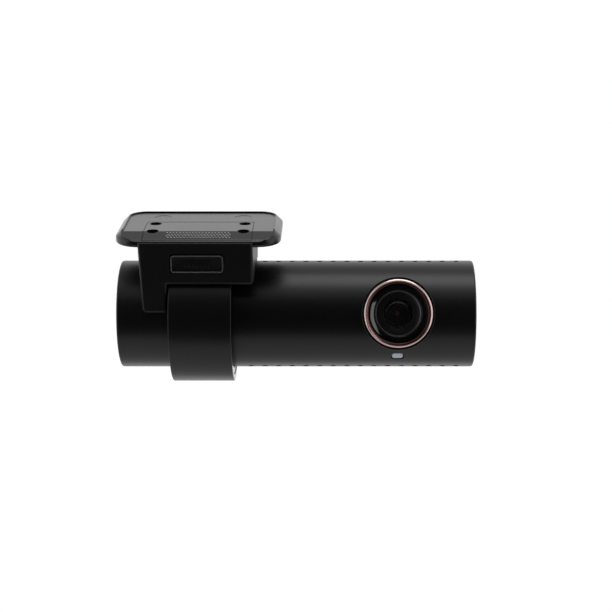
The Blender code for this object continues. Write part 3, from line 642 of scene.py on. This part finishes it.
def makeScrew(name, top, length, node):
    r, h = screwHead["radius"], screwHead["height"]
    edge, slot = screwHead["edge"], screwHead["slot"] / 2
    profile = [(screwHead["shank"], -length), (screwHead["shank"], -h), (r, -h)]
    profile += arc(r - edge, -edge, edge, 0, 75, 4) + [(r * 0.4, 0.0)]
    obj = lathe(name, profile, 40)
    reach = r * screwHead["slotReach"]
    for long, short in ((reach, slot), (slot, reach)):
        carve(obj, block("crossTool", (-long, -short, -screwHead["slotDepth"]), (long, short, mm)))
    turned = Matrix.Rotation(math.radians(screwHead["turn"]), 4, "Z")
    obj.data.transform(Matrix.Translation(top) @ turned)
    smooth(obj, 30)
    done(paint(obj, blackenedSteel), "bracket", "steel", node)


def makeLidScrews():
    for i in range(1, 5):
        low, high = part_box(f"lid_screw_{i}")
        centre = (low + high) / 2
        top = high.z - plate["screwSink"]
        makeScrew(f"lidScrew{i}", (centre.x, centre.y, top), top - low.z, f"lid_screw_{i}")


dots = {
    "pitch": 1.05 * mm,
    "radius": 0.3 * mm,
    "height": 0.2 * mm,
    "columns": 20,
    "rows": 4,
    "start": 2.9 * mm,
}


def makeLidDots():
    # a plain field of raised dots on the front slope, so that a thumb finds the lid
    deselect()
    bpy.ops.mesh.primitive_uv_sphere_add(segments=10, ring_count=6, radius=dots["radius"])
    one = named("lidDot")
    one.scale.z = dots["height"] / dots["radius"]
    applyAll(one)
    startY, startZ, slope = plate["frontSlope"]
    onSlope = Matrix.Translation((0, startY, startZ)) @ Matrix.Rotation(math.radians(slope), 4, "X")
    made = []
    for row in range(dots["rows"]):
        for column in range(dots["columns"]):
            x = (column - (dots["columns"] - 1) / 2 + 0.5 * (row % 2)) * dots["pitch"]
            made.append(copyOf(one, "lidDot", (x, -dots["start"] - row * dots["pitch"], 0)))
    bpy.data.objects.remove(one, do_unlink=True)
    obj = smooth(applyAll(joined(made, "lidDots"), onSlope), 60)
    # the dots' lighter finish is a painted highlight
    done(paint(obj, dotsPaintedHighlight), "bracket", "plate_black")


housing = {
    "left": -19.2 * mm,
    "right": 18.2 * mm,
    "front": -19.0 * mm,
    "back": 16.0 * mm,
    "bottom": -16.6 * mm,
    "lobeLeft": -18.2 * mm,
    "lobeBottom": -26.2 * mm,
    "lobeRight": -10.0 * mm,
    "lobeBack": -5.0 * mm,
    "lobeCorner": 1.5 * mm,
    "edge": 1.0 * mm,
    "lipTop": -2.7 * mm,
    "lipBack": -17.56 * mm,
    "beyond": 20 * mm,  # well past the housing's back
    "shelfGap": 0.02 * mm,
    "tubeGap": 0.5 * mm,
    "ringGap": 0.25 * mm,
    "ringEndGap": 0.2 * mm,
    "boreReach": 60 * mm,
    "pocketGap": 0.3 * mm,
    "pocketBack": -14 * mm,
    "pocketCorner": 1.3 * mm,
    "pawlGap": 0.4 * mm,
    "pawlFront": -15 * mm,
    "pawlBack": 11 * mm,
    "crisp": 0.08 * mm,
}


def makeHousing():
    top = housing["lipTop"] + housing["edge"]  # lipTrim cuts the round off again
    left, right, front = housing["left"], housing["right"], housing["front"]
    lobeRight, lobeBack = housing["lobeRight"], housing["lobeBack"]
    bottom, lobeBottom = housing["bottom"], housing["lobeBottom"]
    obj = block("bracketHousing", (left, front, lobeBottom), (lobeRight, lobeBack, top))
    bpy.ops.object.mode_set(mode="EDIT")
    bpy.ops.mesh.select_all(action="SELECT")
    bpy.ops.mesh.bisect(plane_co=(0, 0, bottom), plane_no=(0, 0, 1))
    bpy.ops.object.mode_set(mode="OBJECT")
    pullFaces(obj, lambda c, n: n.x > 0.9 and c.z > bottom, (right - lobeRight, 0, 0))
    pullFaces(obj, lambda c, n: n.y > 0.9 and c.z > bottom, (0, housing["back"] - lobeBack, 0))
    for point in obj.data.vertices:  # the left side leans in towards its foot
        if point.co.x < left + nothing:
            point.co.x += (housing["lobeLeft"] - left) * (top - point.co.z) / (top - lobeBottom)
    footLeft = housing["lobeLeft"] + nothing
    bevelEdges(obj, lambda a, b: max(a.z, b.z) < lobeBottom + nothing and max(a.x, b.x) < footLeft,
               housing["lobeCorner"], 10)
    softEdges(obj, housing["edge"], 5, 50)
    beyond = housing["beyond"]
    shelf = block("shelf", (left - mm, housing["lipBack"], plateLow.z - housing["shelfGap"]),
                  (right + mm, beyond, mm))
    carve(obj, shelf)
    boreRadius, reach = tubeRadius + housing["tubeGap"], housing["boreReach"]
    bore = lathe("tubeRoom", [(boreRadius, -reach), (boreRadius, reach)], 128)
    carve(obj, bore, place=axisFrame @ alongX)
    ringLow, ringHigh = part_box("clamp_ring")
    ringRadius, endGap = (ringHigh.z - ringLow.z) / 2 + housing["ringGap"], housing["ringEndGap"]
    ringEnds = [(ringRadius, ringLow.x - endGap), (ringRadius, ringHigh.x + endGap)]
    carve(obj, lathe("ringRoom", ringEnds, 128), place=axisFrame @ alongX)
    buttonLow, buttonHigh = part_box("lock_button")
    gap = housing["pocketGap"]
    pocket = block("pocket", (buttonLow.x - gap, front - mm, buttonLow.z - gap),
                   (buttonHigh.x + gap, housing["pocketBack"], buttonHigh.z + 1.6 * gap))
    bevelEdges(pocket, lambda a, b: abs(a.y - b.y) > mm, housing["pocketCorner"], 6)
    carve(obj, pocket)
    pawlLow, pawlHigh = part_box("lock_pawl")
    gap = housing["pawlGap"]
    room = block("pawlRoom", (pawlLow.x - gap, housing["pawlFront"], pawlLow.z - mm),
                 (pawlHigh.x + gap, housing["pawlBack"], pawlHigh.z + gap))
    carve(obj, room)
    softEdges(obj, housing["crisp"], 2, 55)
    carve(obj, block("lipTrim", (left - mm, front - mm, housing["lipTop"]), (right + mm, beyond, 2 * mm)))
    evenNormals(smooth(obj, 32))
    finish(obj, "bracket", "housing_black", "bracket_housing")


lockKey = {
    "corner": 1.2 * mm,
    "rim": 0.42 * mm,
    "rimDepth": 0.2 * mm,
    "recess": 0.38 * mm,
    "soft": 0.13 * mm,
    "ribs": 7,
    "ribPitch": 1.25 * mm,
    "ribWidth": 0.42 * mm,
    "ribHeight": 2.3 * mm,
    "ribRise": 0.16 * mm,
    "ribRoot": 0.2 * mm,
    "ribSoft": 0.07 * mm,
}


def makeLockKey():
    low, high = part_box("lock_button")
    obj = block("lockKey", low, high)
    bevelEdges(obj, lambda a, b: abs(a.y - b.y) > mm, lockKey["corner"], 8)
    selectNone(obj, "FACE")
    for face in obj.data.polygons:
        face.select = face.normal.y < -0.99
    bpy.ops.object.mode_set(mode="EDIT")
    bpy.ops.mesh.select_mode(type="FACE")
    bpy.ops.mesh.inset(thickness=lockKey["rim"], depth=0)
    bpy.ops.mesh.extrude_region_move(TRANSFORM_OT_translate={"value": (0, lockKey["recess"], 0)})
    bpy.ops.object.mode_set(mode="OBJECT")
    softEdges(obj, lockKey["soft"], 3, 50)
    ribs = []
    middle = (low.z + high.z) / 2
    face = low.y + lockKey["recess"]
    w, h = lockKey["ribWidth"] / 2, lockKey["ribHeight"] / 2
    for i in range(lockKey["ribs"]):
        x = (i - (lockKey["ribs"] - 1) / 2) * lockKey["ribPitch"]
        rib = block("rib", (x - w, face - lockKey["ribRise"], middle - h),
                    (x + w, face + lockKey["ribRoot"], middle + h))
        ribs.append(softEdges(rib, lockKey["ribSoft"], 2, 50))
    carve(obj, joined(ribs, "ribs"), "UNION")
    smooth(obj, 35)
    # the rim round the key's face gets a lighter finish, a painted highlight
    paint(obj, finishes["housing_black"], keyRimPaintedHighlight)
    rimBack, rimEdge = low.y + lockKey["rimDepth"], lockKey["rim"] * 1.2
    lookOn(obj, 1, lambda c, n: c.y < rimBack and (
        min(c.x - low.x, high.x - c.x) < rimEdge or min(c.z - low.z, high.z - c.z) < rimEdge))
    done(obj, "lock", "housing_black", "lock_button")


rings = {
    "clampInner": 20.6 * mm,
    "clampEdge": 0.35 * mm,
    "sleeveInner": 18.35 * mm,
    "sleeveEdge": 0.2 * mm,
}


def ringPiece(name, node, inner, edge, body, look, slotName, place):
    low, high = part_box(node)
    outer = (high.z - low.z) / 2
    left, right = low.x, high.x
    profile = [(inner, left + edge / 2), (inner + edge / 2, left)]
    profile += arc(outer - edge, left + edge, edge, -90, 0, 5)
    profile += arc(outer - edge, right - edge, edge, 0, 90, 5)
    profile += [(inner + edge / 2, right), (inner, right - edge / 2), (inner, (left + right) / 2)]
    obj = applyAll(lathe(name, profile, 192, hollow=True), place @ alongX)
    smooth(obj, 35)
    paint(obj, look, sideGloss)
    lookOn(obj, 1, lambda c, n: abs(n.x) > 0.99)
    done(obj, body, slotName, node)


def makeRings():
    ringPiece("clampRing", "clamp_ring", rings["clampInner"], rings["clampEdge"], "bracket",
              finishes["satin_black"], "satin_black", axisFrame)
    ringPiece("gripSleeve", "grip_sleeve", rings["sleeveInner"], rings["sleeveEdge"], "sleeve",
              finishes["sleeve_black"], "sleeve_black", tubeFrame)


makePlate()
makeLidScrews()
makeLidDots()
makeHousing()
makeLockKey()
makeRings()


# the camera's tube

print("modelling the tube")
tube = {
    "sides": 160,
    "wall": 1.6 * mm,
    "edge": 0.7 * mm,
    "slotCount": 16,
    "slotFirst": 43.8 * mm,  # from the tube's left end
    "slotPitch": 4.6 * mm,
    "slotWidth": 1.6 * mm,
    "slotLength": 5.0 * mm,
    "slotTurn": 6.5,
    "cutFrom": 14.5 * mm,  # cuts through the wall, as radii
    "cutTo": 20 * mm,
    "deepCut": 13 * mm,
    "endSoft": 0.2 * mm,
    "collar": 12.1 * mm,
    "collarTop": 18.6 * mm,
    "collarFoot": 11.7 * mm,
    "collarEdge": 0.3 * mm,
    "ringSeat": 16.5 * mm,
    "ringRoom": 11.75 * mm,
    "lensBore": 10.2 * mm,
    "lensCut": (5 * mm, 25 * mm),
    "gap": 0.12 * mm,
}


def rearPlace(low, high):
    return rearFrame @ Matrix.Translation(((low.x + high.x) / 2, 0, 0))


def ventTools():
    tools = []
    for i in range(tube["slotCount"]):
        x = tubeLeft + tube["slotFirst"] + tube["slotPitch"] * i
        for side in (1, -1):
            low, high = sorted((side * tube["cutFrom"], side * tube["cutTo"]))
            tool = pill("slotTool", tube["slotLength"], tube["slotWidth"], low, high, 5)
            turn = Matrix.Rotation(math.radians(side * tube["slotTurn"]), 4, "X")
            across = Matrix.Rotation(math.pi / 2, 4, "Z")
            tool.data.transform(Matrix.Translation((x, 0, 0)) @ turn @ across)
            tools.append(tool)
    return joined(tools, "ventTools")


light = {"width": 2.8 * mm, "foot": 16 * mm, "top": 17.75 * mm, "edge": 0.2 * mm, "corner": 0.95 * mm}
status = {"width": 2.4 * mm, "foot": 16 * mm, "top": 18 * mm, "edge": 0.2 * mm}


def lightBlank(name, grow, low, high):
    windowLow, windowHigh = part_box("security_led_window")
    long, wide = windowHigh.x - windowLow.x + 2 * grow, light["width"] + 2 * grow
    obj = block(name, (-long / 2, -wide / 2, low), (long / 2, wide / 2, high))
    return bevelEdges(obj, upright, light["corner"] + grow, 8)


def makeTube():
    outer, bore, edge = tubeRadius, tubeRadius - tube["wall"], tube["edge"]
    soft, cutTo, deepCut = tube["endSoft"], tube["cutTo"], tube["deepCut"]
    profile = [(bore, tubeLeft + soft), (bore + soft, tubeLeft)]
    profile += arc(outer - edge, tubeLeft + edge, edge, -90, 0, 6)
    profile += arc(outer - edge, tubeRight - edge, edge, 0, 90, 6)
    profile += [(bore + soft, tubeRight), (bore, tubeRight - soft)]
    obj = applyAll(lathe("cameraShell", profile, tube["sides"], hollow=True), alongX)
    carve(obj, ventTools())
    applyAll(obj, tubeFrame)
    gap = tube["gap"]
    carve(obj, lightBlank("ledTool", 2 * gap, tube["cutFrom"], cutTo), place=ledFrame)
    for node in ("wifi_button", "format_button"):
        low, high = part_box(node)
        radius = (high.x - low.x) / 2 + gap
        carve(obj, lathe("keyTool", [(radius, deepCut), (radius, cutTo)], 48), place=rearPlace(low, high))
    low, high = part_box("status_window")
    size = (high.x - low.x + 2 * gap, status["width"] + 2 * gap)
    carve(obj, pill("statusTool", *size, deepCut, cutTo, 10), place=rearPlace(low, high))
    radius, edge = tube["collar"], tube["collarEdge"]
    collar = [(radius, tube["collarFoot"])] + arc(radius - edge, tube["collarTop"] - edge, edge, 0, 90, 4)
    carve(obj, lathe("collarTool", collar, 128), "UNION", lensFrame)
    bore, room, seat = tube["lensBore"], tube["ringRoom"], tube["ringSeat"]
    inside, outside = tube["lensCut"]
    lensCut = lathe("boreTool", [(bore, inside), (bore, seat), (room, seat), (room, outside)], 128)
    carve(obj, lensCut, place=lensFrame)
    smooth(obj, 30)
    finish(obj, "camera", "satin_black", "camera_shell")


def makeWindows():
    top = light["top"]
    obj = lightBlank("securityLight", 0, light["foot"], top)
    bevelEdges(obj, lambda a, b: min(a.z, b.z) > top - nothing, light["edge"], 5)
    smooth(applyAll(obj, ledFrame), 40)
    finish(obj, "camera", "light_pipe", "security_led_window")
    low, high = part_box("status_window")
    top = status["top"]
    obj = pill("statusWindow", high.x - low.x, status["width"], status["foot"], top, 10)
    bevelEdges(obj, lambda a, b: min(a.z, b.z) > top - nothing, status["edge"], 3)
    smooth(applyAll(obj, rearPlace(low, high)), 40)
    finish(obj, "camera", "smoke_window", "status_window")


keys = {"foot": 12.9 * mm, "top": 18.3 * mm, "edge": 0.3 * mm, "dish": 0.25 * mm}


def makeKeys():
    for word in ("wifi", "format"):
        node = f"{word}_button"
        low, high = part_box(node)
        radius, top, edge = (high.x - low.x) / 2, keys["top"], keys["edge"]
        profile = [(radius, keys["foot"])] + arc(radius - edge, top - edge, edge, 0, 90, 5)
        profile += [(radius * 0.7, top - keys["dish"] * 0.4), (radius * 0.4, top - keys["dish"] * 0.85),
                    (radius * 0.12, top - keys["dish"])]
        obj = smooth(applyAll(lathe(f"{word}Key", profile, 48), rearPlace(low, high)), 40)
        finish(obj, f"{word}_key", "housing_black", node)


caps = {
    "gap": 0.12 * mm,
    "sink": 0.3 * mm,
    "thick": 2.0 * mm,
    "edge": 0.25 * mm,
    "groove": ((1.2 * mm, 0.0), (1.35 * mm, 0.12 * mm), (1.5 * mm, 0.0)),  # how far in and how deep
    "grilleHole": 0.6 * mm,
    "grillePitch": 2.4 * mm,
    "grilleShift": -3.0 * mm,
    "jackHole": 2.4 * mm,
    "jackFlare": 0.4 * mm,
    "holeDepth": 5 * mm,
    "doorGap": 0.15 * mm,
    "hingeGap": 0.7 * mm,
    "doorDepth": 1.3 * mm,
    "cardHalf": 6 * mm,
    "cardInset": 0.6 * mm,
}


def capBlank(name):
    radius = tubeRadius - tube["wall"] - caps["gap"]
    edge, top = caps["edge"], -caps["sink"]
    profile = [(radius, top - caps["thick"])] + arc(radius - edge, top - edge, edge, 0, 90, 4)
    profile += [(radius - inwards, top - down) for inwards, down in caps["groove"]]
    return lathe(name, profile, 128)


def makeCaps():
    right = capBlank("rightCap")
    radius, depth = caps["grilleHole"], caps["holeDepth"]
    for row in (-1, 0, 1):
        for column in (-1, 0, 1):
            hole = lathe("grilleTool", [(radius, -depth), (radius, -0.5 * mm), (radius * 1.5, 0.1 * mm)], 24)
            place = (column * caps["grillePitch"], row * caps["grillePitch"] + caps["grilleShift"], 0)
            carve(right, hole, place=Matrix.Translation(place))
    smooth(applyAll(right, rightFrame), 35)
    finish(right, "camera", "cap_black", "right_cap")
    left = capBlank("leftCap")
    for node in ("dc_jack", "rear_camera_socket"):
        spot = inFrame(leftFrame, middleOf(node))
        radius = caps["jackHole"]
        profile = [(radius, -depth), (radius, -0.6 * mm), (radius + caps["jackFlare"], -0.2 * mm)]
        hole = lathe("jackTool", profile, 48)
        carve(left, hole, place=Matrix.Translation((spot.x, spot.y, 0)))
    door = inFrame(leftFrame, joints["card_door_hinge"]["pos_m"])
    lowY, highY, half = door.y, door.y + doorShape["long"], doorShape["half"]
    floor = -caps["sink"] - caps["doorDepth"]
    gap = caps["doorGap"]
    lowest = lowY - caps["hingeGap"]
    carve(left, block("doorRoom", (-half - gap, lowest, floor), (half + gap, highY + gap, mm)))
    half = caps["cardHalf"]
    carve(left, block("slotRoom", (-half, lowY + mm, -depth), (half, highY - caps["cardInset"], mm)))
    smooth(applyAll(left, leftFrame), 35)
    finish(left, "camera", "cap_black", "left_cap")


doorShape = {
    "long": 5.0 * mm,
    "half": 6.5 * mm,
    "thick": 1.0 * mm,
    "corner": 0.6 * mm,
    "crisp": 0.08 * mm,
    "notch": 1.5 * mm,
    "notchDepth": 0.25 * mm,
    "notchOut": 0.3 * mm,
}


def makeDoor():
    t, half, long = doorShape["thick"] / 2, doorShape["half"], doorShape["long"]
    obj = block("cardDoor", (-half, -t, -t), (half, long, t))
    bevelEdges(obj, lambda a, b: max(a.y, b.y) < 0, t * 0.98, 6)
    bevelEdges(obj, lambda a, b: upright(a, b) and min(a.y, b.y) > long - nothing, doorShape["corner"], 6)
    nail = lathe("nailTool", [(doorShape["notch"], -0.1 * mm), (doorShape["notch"] * 1.25, mm)], 40)
    notch = (0, long + doorShape["notchOut"], t - doorShape["notchDepth"])
    carve(obj, nail, place=Matrix.Translation(notch))
    softEdges(obj, doorShape["crisp"], 2, 50)
    door = inFrame(leftFrame, joints["card_door_hinge"]["pos_m"])
    smooth(applyAll(obj, leftFrame @ Matrix.Translation(door)), 40)
    finish(obj, "door", "cap_black", "card_door")


makeTube()
makeWindows()
makeKeys()
makeCaps()
makeDoor()


# the lens

print("modelling the lens")
lens = {
    "ringOuter": 11.5 * mm,
    "ringInner": 9.85 * mm,
    "ringFoot": 16.8 * mm,
    "brightBand": 0.92 * mm,
    "ringTop": 19.2 * mm,
    "ringSlope": (  # how far in and how far down, in millimetres
        (0.0, 1.05), (0.05, 0.85), (0.16, 0.64), (0.34, 0.42), (0.6, 0.24), (0.9, 0.12), (1.2, 0.04),
        (1.45, 0.0), (1.56, 0.03), (1.63, 0.12), (1.65, 0.3),
    ),
    "bezelOuter": 9.78 * mm,
    "bezelInner": 7.56 * mm,
    "bezelEdge": 17.9 * mm,
    "bezelSlope": 14.0,
    "bezelCrown": 7.0,
    "bezelSteps": 8,
    "bezelFlat": 0.5 * mm,
    "bezelLip": 0.3 * mm,
    "bezelLipSink": 0.28 * mm,
    "barrel": 7.46 * mm,
    "barrelTop": 17.6 * mm,
    "glass": 4.8 * mm,
}


def makeTrimRing():
    outer, inner, top, foot = lens["ringOuter"], lens["ringInner"], lens["ringTop"], lens["ringFoot"]
    profile = [(inner, foot), (outer, foot)]  # a wide outer slope, nearly flat inside
    profile += [(outer - across * mm, top - down * mm) for across, down in lens["ringSlope"]]
    obj = applyAll(lathe("trimRing", profile, 160, hollow=True), lensFrame)
    smooth(obj, 50)
    paint(obj, finishes["rose_gold"], roseLipPaintedShade)
    back = lensFrame.inverted()
    lip = outer - lens["brightBand"]  # the inner lip is painted a darker rose, as painted shade
    lookOn(obj, 1, lambda c, n: (back @ c).to_2d().length < lip)
    done(obj, "camera", "rose_gold", "trim_ring")


def makeBezel():
    outer, inner, foot = lens["bezelOuter"], lens["bezelInner"], lens["ringFoot"]
    profile = [(inner, foot), (outer, foot), (outer, lens["bezelEdge"])]
    steps, lip = lens["bezelSteps"], lens["bezelLip"]
    run = outer - inner - lens["bezelFlat"]
    height = lens["bezelEdge"]
    for i in range(1, steps + 1):  # a slope that looks outwards, a little crowned
        slope = math.radians(lens["bezelSlope"] + lens["bezelCrown"] * (0.5 - (i - 0.5) / steps))
        height += run / steps * math.tan(slope)
        profile.append((outer - run * i / steps, height))
    profile += arc(inner + lip, height - lens["bezelLipSink"], lip, 100, 180, 5)
    obj = applyAll(lathe("lensBezel", profile, 160, hollow=True), lensFrame)
    smooth(obj, 40)
    finish(obj, "camera", "gloss_black", "lens_bezel")


barrel = {
    "foot": 2 * mm,
    "bore": 4.2 * mm,
    "tail": 6.0 * mm,
    "tailTop": 9 * mm,
    "body": 7.25 * mm,
    "bodyTop": 16 * mm,
    "flange": 16.2 * mm,
    "seat": 13.2 * mm,
    "rim": 0.12 * mm,
    "lip": ((0.3 * mm, 0.5 * mm), (0.9 * mm, 0.62 * mm), (0.95 * mm, 0.8 * mm)),  # how far in and down
    "baffles": 5,
    "baffleFall": 0.55 * mm,
    "baffleRise": 0.1 * mm,
    "baffleEnd": 0.35 * mm,
    "glassGap": 0.12 * mm,
    "glassRoom": 1.6 * mm,
    "brightRim": 0.3 * mm,
}


def makeBarrel():
    r, top, glass = lens["barrel"], lens["barrelTop"], lens["glass"]
    foot, tail, tailTop = barrel["foot"], barrel["tail"], barrel["tailTop"]
    body, bore, seat, rim = barrel["body"], barrel["bore"], barrel["seat"], barrel["rim"]
    profile = [(bore, foot), (tail, foot), (tail, tailTop), (body, tailTop), (body, barrel["bodyTop"]),
               (r, barrel["flange"])]
    profile += arc(r - rim, top - rim, rim, 0, 180, 6)
    profile += [(r - inwards, top - down) for inwards, down in barrel["lip"]]
    steps = barrel["baffles"]
    lipIn, lipDown = barrel["lip"][-1]
    inner = glass + barrel["baffleEnd"]
    for i in range(1, steps + 1):  # shallow baffle steps towards the glass
        start = r - lipIn + (inner - r + lipIn) * (i - 0.35) / steps
        end = r - lipIn + (inner - r + lipIn) * i / steps
        height = top - lipDown - barrel["baffleFall"] * i / steps
        profile += [(start, height + barrel["baffleRise"]), (end, height)]
    wall = glass + barrel["glassGap"]
    profile += [(wall, top - barrel["glassRoom"]), (wall, seat), (bore, seat)]
    obj = applyAll(lathe("lensBarrel", profile, 128, hollow=True), lensFrame)
    smooth(obj, 30)
    # the barrel's front rim gets a lighter finish, a painted highlight
    paint(obj, finishes["barrel_black"], barrelRimPaintedHighlight)
    back = lensFrame.inverted()
    lookOn(obj, 1, lambda c, n: (back @ c).z > top - barrel["brightRim"])
    done(obj, "camera", "barrel_black", "lens_barrel")


frontShape = {
    "foot": 13.5 * mm,
    "hollow": ((0.25, 0.55 * mm), (0.6, 0.35 * mm), (0.85, 0.0)),  # shares of the radius, and heights
    "edge": 1.0 * mm,
    "rise": 1.5 * mm,
    "steps": 14,
}
innerShape = {
    "radius": 3.9 * mm,
    "foot": 4.0 * mm,
    "shoulder": 4.6 * mm,
    "edge": 6.0 * mm,
    "rise": 1.0 * mm,
    "steps": 12,
}


def makeFrontGlass():
    r, foot = lens["glass"], frontShape["foot"]
    edge = foot + frontShape["edge"]
    profile = [(r * share, foot + height) for share, height in frontShape["hollow"]]
    profile += [(r, foot), (r, edge)] + dome(r, edge, frontShape["rise"], frontShape["steps"])
    obj = applyAll(lathe("frontGlass", profile, 96), lensFrame)
    smooth(obj, 40)
    finish(obj, "camera", "lens_glass", "front_element")


def makeInnerGlass():
    r, edge = innerShape["radius"], innerShape["edge"]
    profile = [(r * 0.8, innerShape["foot"]), (r, innerShape["shoulder"]), (r, edge)]
    profile += dome(r, edge, innerShape["rise"], innerShape["steps"])
    obj = applyAll(lathe("innerGlass", profile, 64), lensFrame)
    smooth(obj, 40)
    done(paint(obj, innerGlass), "camera", "lens_glass", "rear_element")


def makeIris():
    # the stepped stop between the two glasses, with its small opening
    profile = [(1.5 * mm, 10.0 * mm), (4.0 * mm, 9.6 * mm), (4.0 * mm, 12.8 * mm), (3.4 * mm, 12.7 * mm),
               (3.2 * mm, 11.9 * mm), (2.6 * mm, 11.8 * mm), (2.4 * mm, 11.1 * mm), (1.6 * mm, 10.9 * mm)]
    obj = applyAll(lathe("lensIris", profile, 64, hollow=True), lensFrame)
    smooth(obj, 30)
    finish(obj, "camera", "barrel_black")


makeTrimRing()
makeBezel()
makeBarrel()
makeFrontGlass()
makeInnerGlass()
makeIris()


# finishes for the pieces kept from the frame

print("painting the inner pieces")
slotOf = {part["node"]: part["material_slot"] for part in frame["record"]["subparts"]}
for node, obj in frame["nodes"].items():
    look = finishes[slotOf[node]]
    for holder in obj.material_slots:
        holder.material = look


# the studio

print("setting up the studio")
studio = {
    "floorDrop": 0.30,
    "floorSize": 8.0,
    "cameraX": 43.15 * mm,
    "cameraAway": 0.52,
    "cameraRise": 17.0,
    "lensLength": 90.0,
    "sensorWidth": 36.0,
    "shiftX": -0.0392,
    "shiftY": 0.0122,
    "floorGlow": 0.44,
    "worldLow": (0.40, 1.02),  # height on the world's ramp, and shade
    "worldHigh": (0.80, 0.42),
}
cards = {
    "lift": 0.004,  # above the floor
    "dark": 0.01,
    "frontAway": 0.62,
    "frontSize": (1.6, 0.88),
    "floorY": -0.85,
    "floorSize": (2.2, 0.86),
    "underY": -0.14,
    "underSize": (1.6, 0.54),
    "underShade": 0.3,
    "underGlow": 0.38,
}
lamps = {
    "overheadPlace": (0.17, 0.03, 0.60),
    "overheadSize": (0.56, 0.30),
    "overheadWatts": 1.2,
    "stripTurn": 25,
    "stripAway": 0.42,
    "stripDrop": 0.07,
    "stripSize": (0.085, 0.33),
    "stripWatts": 0.24,
    "stripLights": ("lensBezel", "lensBarrel", "trimRing"),
}


def setView():
    data = bpy.data.cameras.new("viewCamera")
    camera = bpy.data.objects.new("viewCamera", data)
    bpy.context.scene.collection.objects.link(camera)
    rise = math.radians(studio["cameraRise"])
    back = Vector((0, -math.cos(rise), math.sin(rise)))
    camera.location = Vector((studio["cameraX"], 0, axisHeight)) + back * studio["cameraAway"]
    camera.rotation_euler = (-back).to_track_quat("-Z", "Y").to_euler()
    data.lens = studio["lensLength"]
    data.sensor_width = studio["sensorWidth"]
    data.shift_x = studio["shiftX"]
    data.shift_y = studio["shiftY"]
    data.clip_start = 0.01
    data.clip_end = 50
    bpy.context.scene.camera = camera


def makeFloor():
    deselect()
    bpy.ops.mesh.primitive_plane_add(size=studio["floorSize"], location=(0, 0, -studio["floorDrop"]))
    floor = named("studioFloor")
    sheet = Sheet("studioFloor", (0.9, 0.9, 0.9), 0.9, 0.0, Emission_Strength=1.0)
    glow = studio["floorGlow"]
    sheet.set("Emission Color", (glow, glow, glow, 1.0))
    sheet.set("Base Color", sheet.mix(sheet.noise(3.0), (0.88, 0.88, 0.88), (0.92, 0.92, 0.92)))
    paint(floor, sheet.material)


def flag(name, centre, facing, sizeX, sizeY, shade, glow=0.0):
    # a card that shapes reflections and that the camera doesn't see
    deselect()
    bpy.ops.mesh.primitive_plane_add(size=1, location=centre)
    card = named(name)
    card.scale = (sizeX, sizeY, 1)
    card.rotation_euler = Vector(facing).to_track_quat("Z", "Y").to_euler()
    sheet = Sheet(name, (shade, shade, shade), 0.9, 0.0, Emission_Strength=glow)
    sheet.set("Emission Color", (1.0, 1.0, 1.0, 1.0))
    paint(card, sheet.material)
    card.visible_camera = False
    if facing[2] > 0.9:  # a card that lies on the floor leaves no shade there
        card.visible_diffuse = card.visible_shadow = False


def softbox(name, centre, aim, sizeX, sizeY, watts, lit=()):
    # with pieces named in lit, the lamp lights only those
    data = bpy.data.lights.new(name, "AREA")
    data.shape = "RECTANGLE"
    data.size, data.size_y = sizeX, sizeY
    data.energy = watts
    lamp = bpy.data.objects.new(name, data)
    bpy.context.scene.collection.objects.link(lamp)
    lamp.location = centre
    lamp.rotation_euler = (Vector(aim) - Vector(centre)).to_track_quat("-Z", "Y").to_euler()
    lamp.visible_camera = False
    if lit:
        group = bpy.data.collections.new(name)
        for piece in lit:
            group.objects.link(bpy.data.objects[piece])
        lamp.light_linking.receiver_collection = group


def makeWorld():
    world = bpy.data.worlds.new("paleStudio")
    bpy.context.scene.world = world
    world.use_nodes = True
    tree = world.node_tree
    where = tree.nodes.new("ShaderNodeTexCoord")
    split = tree.nodes.new("ShaderNodeSeparateXYZ")
    ramp = tree.nodes.new("ShaderNodeValToRGB")
    for stop, (height, shade) in zip(ramp.color_ramp.elements, (studio["worldLow"], studio["worldHigh"])):
        stop.position = height
        stop.color = (shade, shade, shade, 1)
    tree.links.new(where.outputs["Generated"], split.inputs[0])
    tree.links.new(split.outputs[2], ramp.inputs[0])
    tree.links.new(ramp.outputs[0], tree.nodes["Background"].inputs[0])


def makeStudio():
    bpy.context.scene.view_settings.view_transform = "Standard"
    makeWorld()
    makeFloor()
    middle = lensX * 0.5
    rise = math.radians(studio["cameraRise"])
    front = Vector((0, -math.cos(rise), math.sin(rise)))
    place = Vector((middle, 0, axisHeight)) + front * cards["frontAway"]
    flag("frontCard", place, -front, *cards["frontSize"], cards["dark"])
    height = -studio["floorDrop"] + cards["lift"]
    place = (middle, cards["floorY"], height)
    flag("frontFloorCard", place, (0, 0, 1), *cards["floorSize"], cards["dark"])
    place = (middle, cards["underY"], height)
    flag("underCard", place, (0, 0, 1), *cards["underSize"], cards["underShade"], cards["underGlow"])
    place = lamps["overheadPlace"]
    softbox("overheadBox", place, (place[0], 0, axisHeight), *lamps["overheadSize"], lamps["overheadWatts"])
    up = Vector((0, math.sin(rise), math.cos(rise)))
    lensPlace = middleOf("trim_ring")
    turn = math.radians(lamps["stripTurn"])
    strip = lensPlace + (front * math.cos(turn) - Vector((math.sin(turn), 0, 0))) * lamps["stripAway"]
    strip -= up * lamps["stripDrop"]
    softbox("leftStrip", strip, lensPlace, *lamps["stripSize"], lamps["stripWatts"], lamps["stripLights"])


setView()
makeStudio()
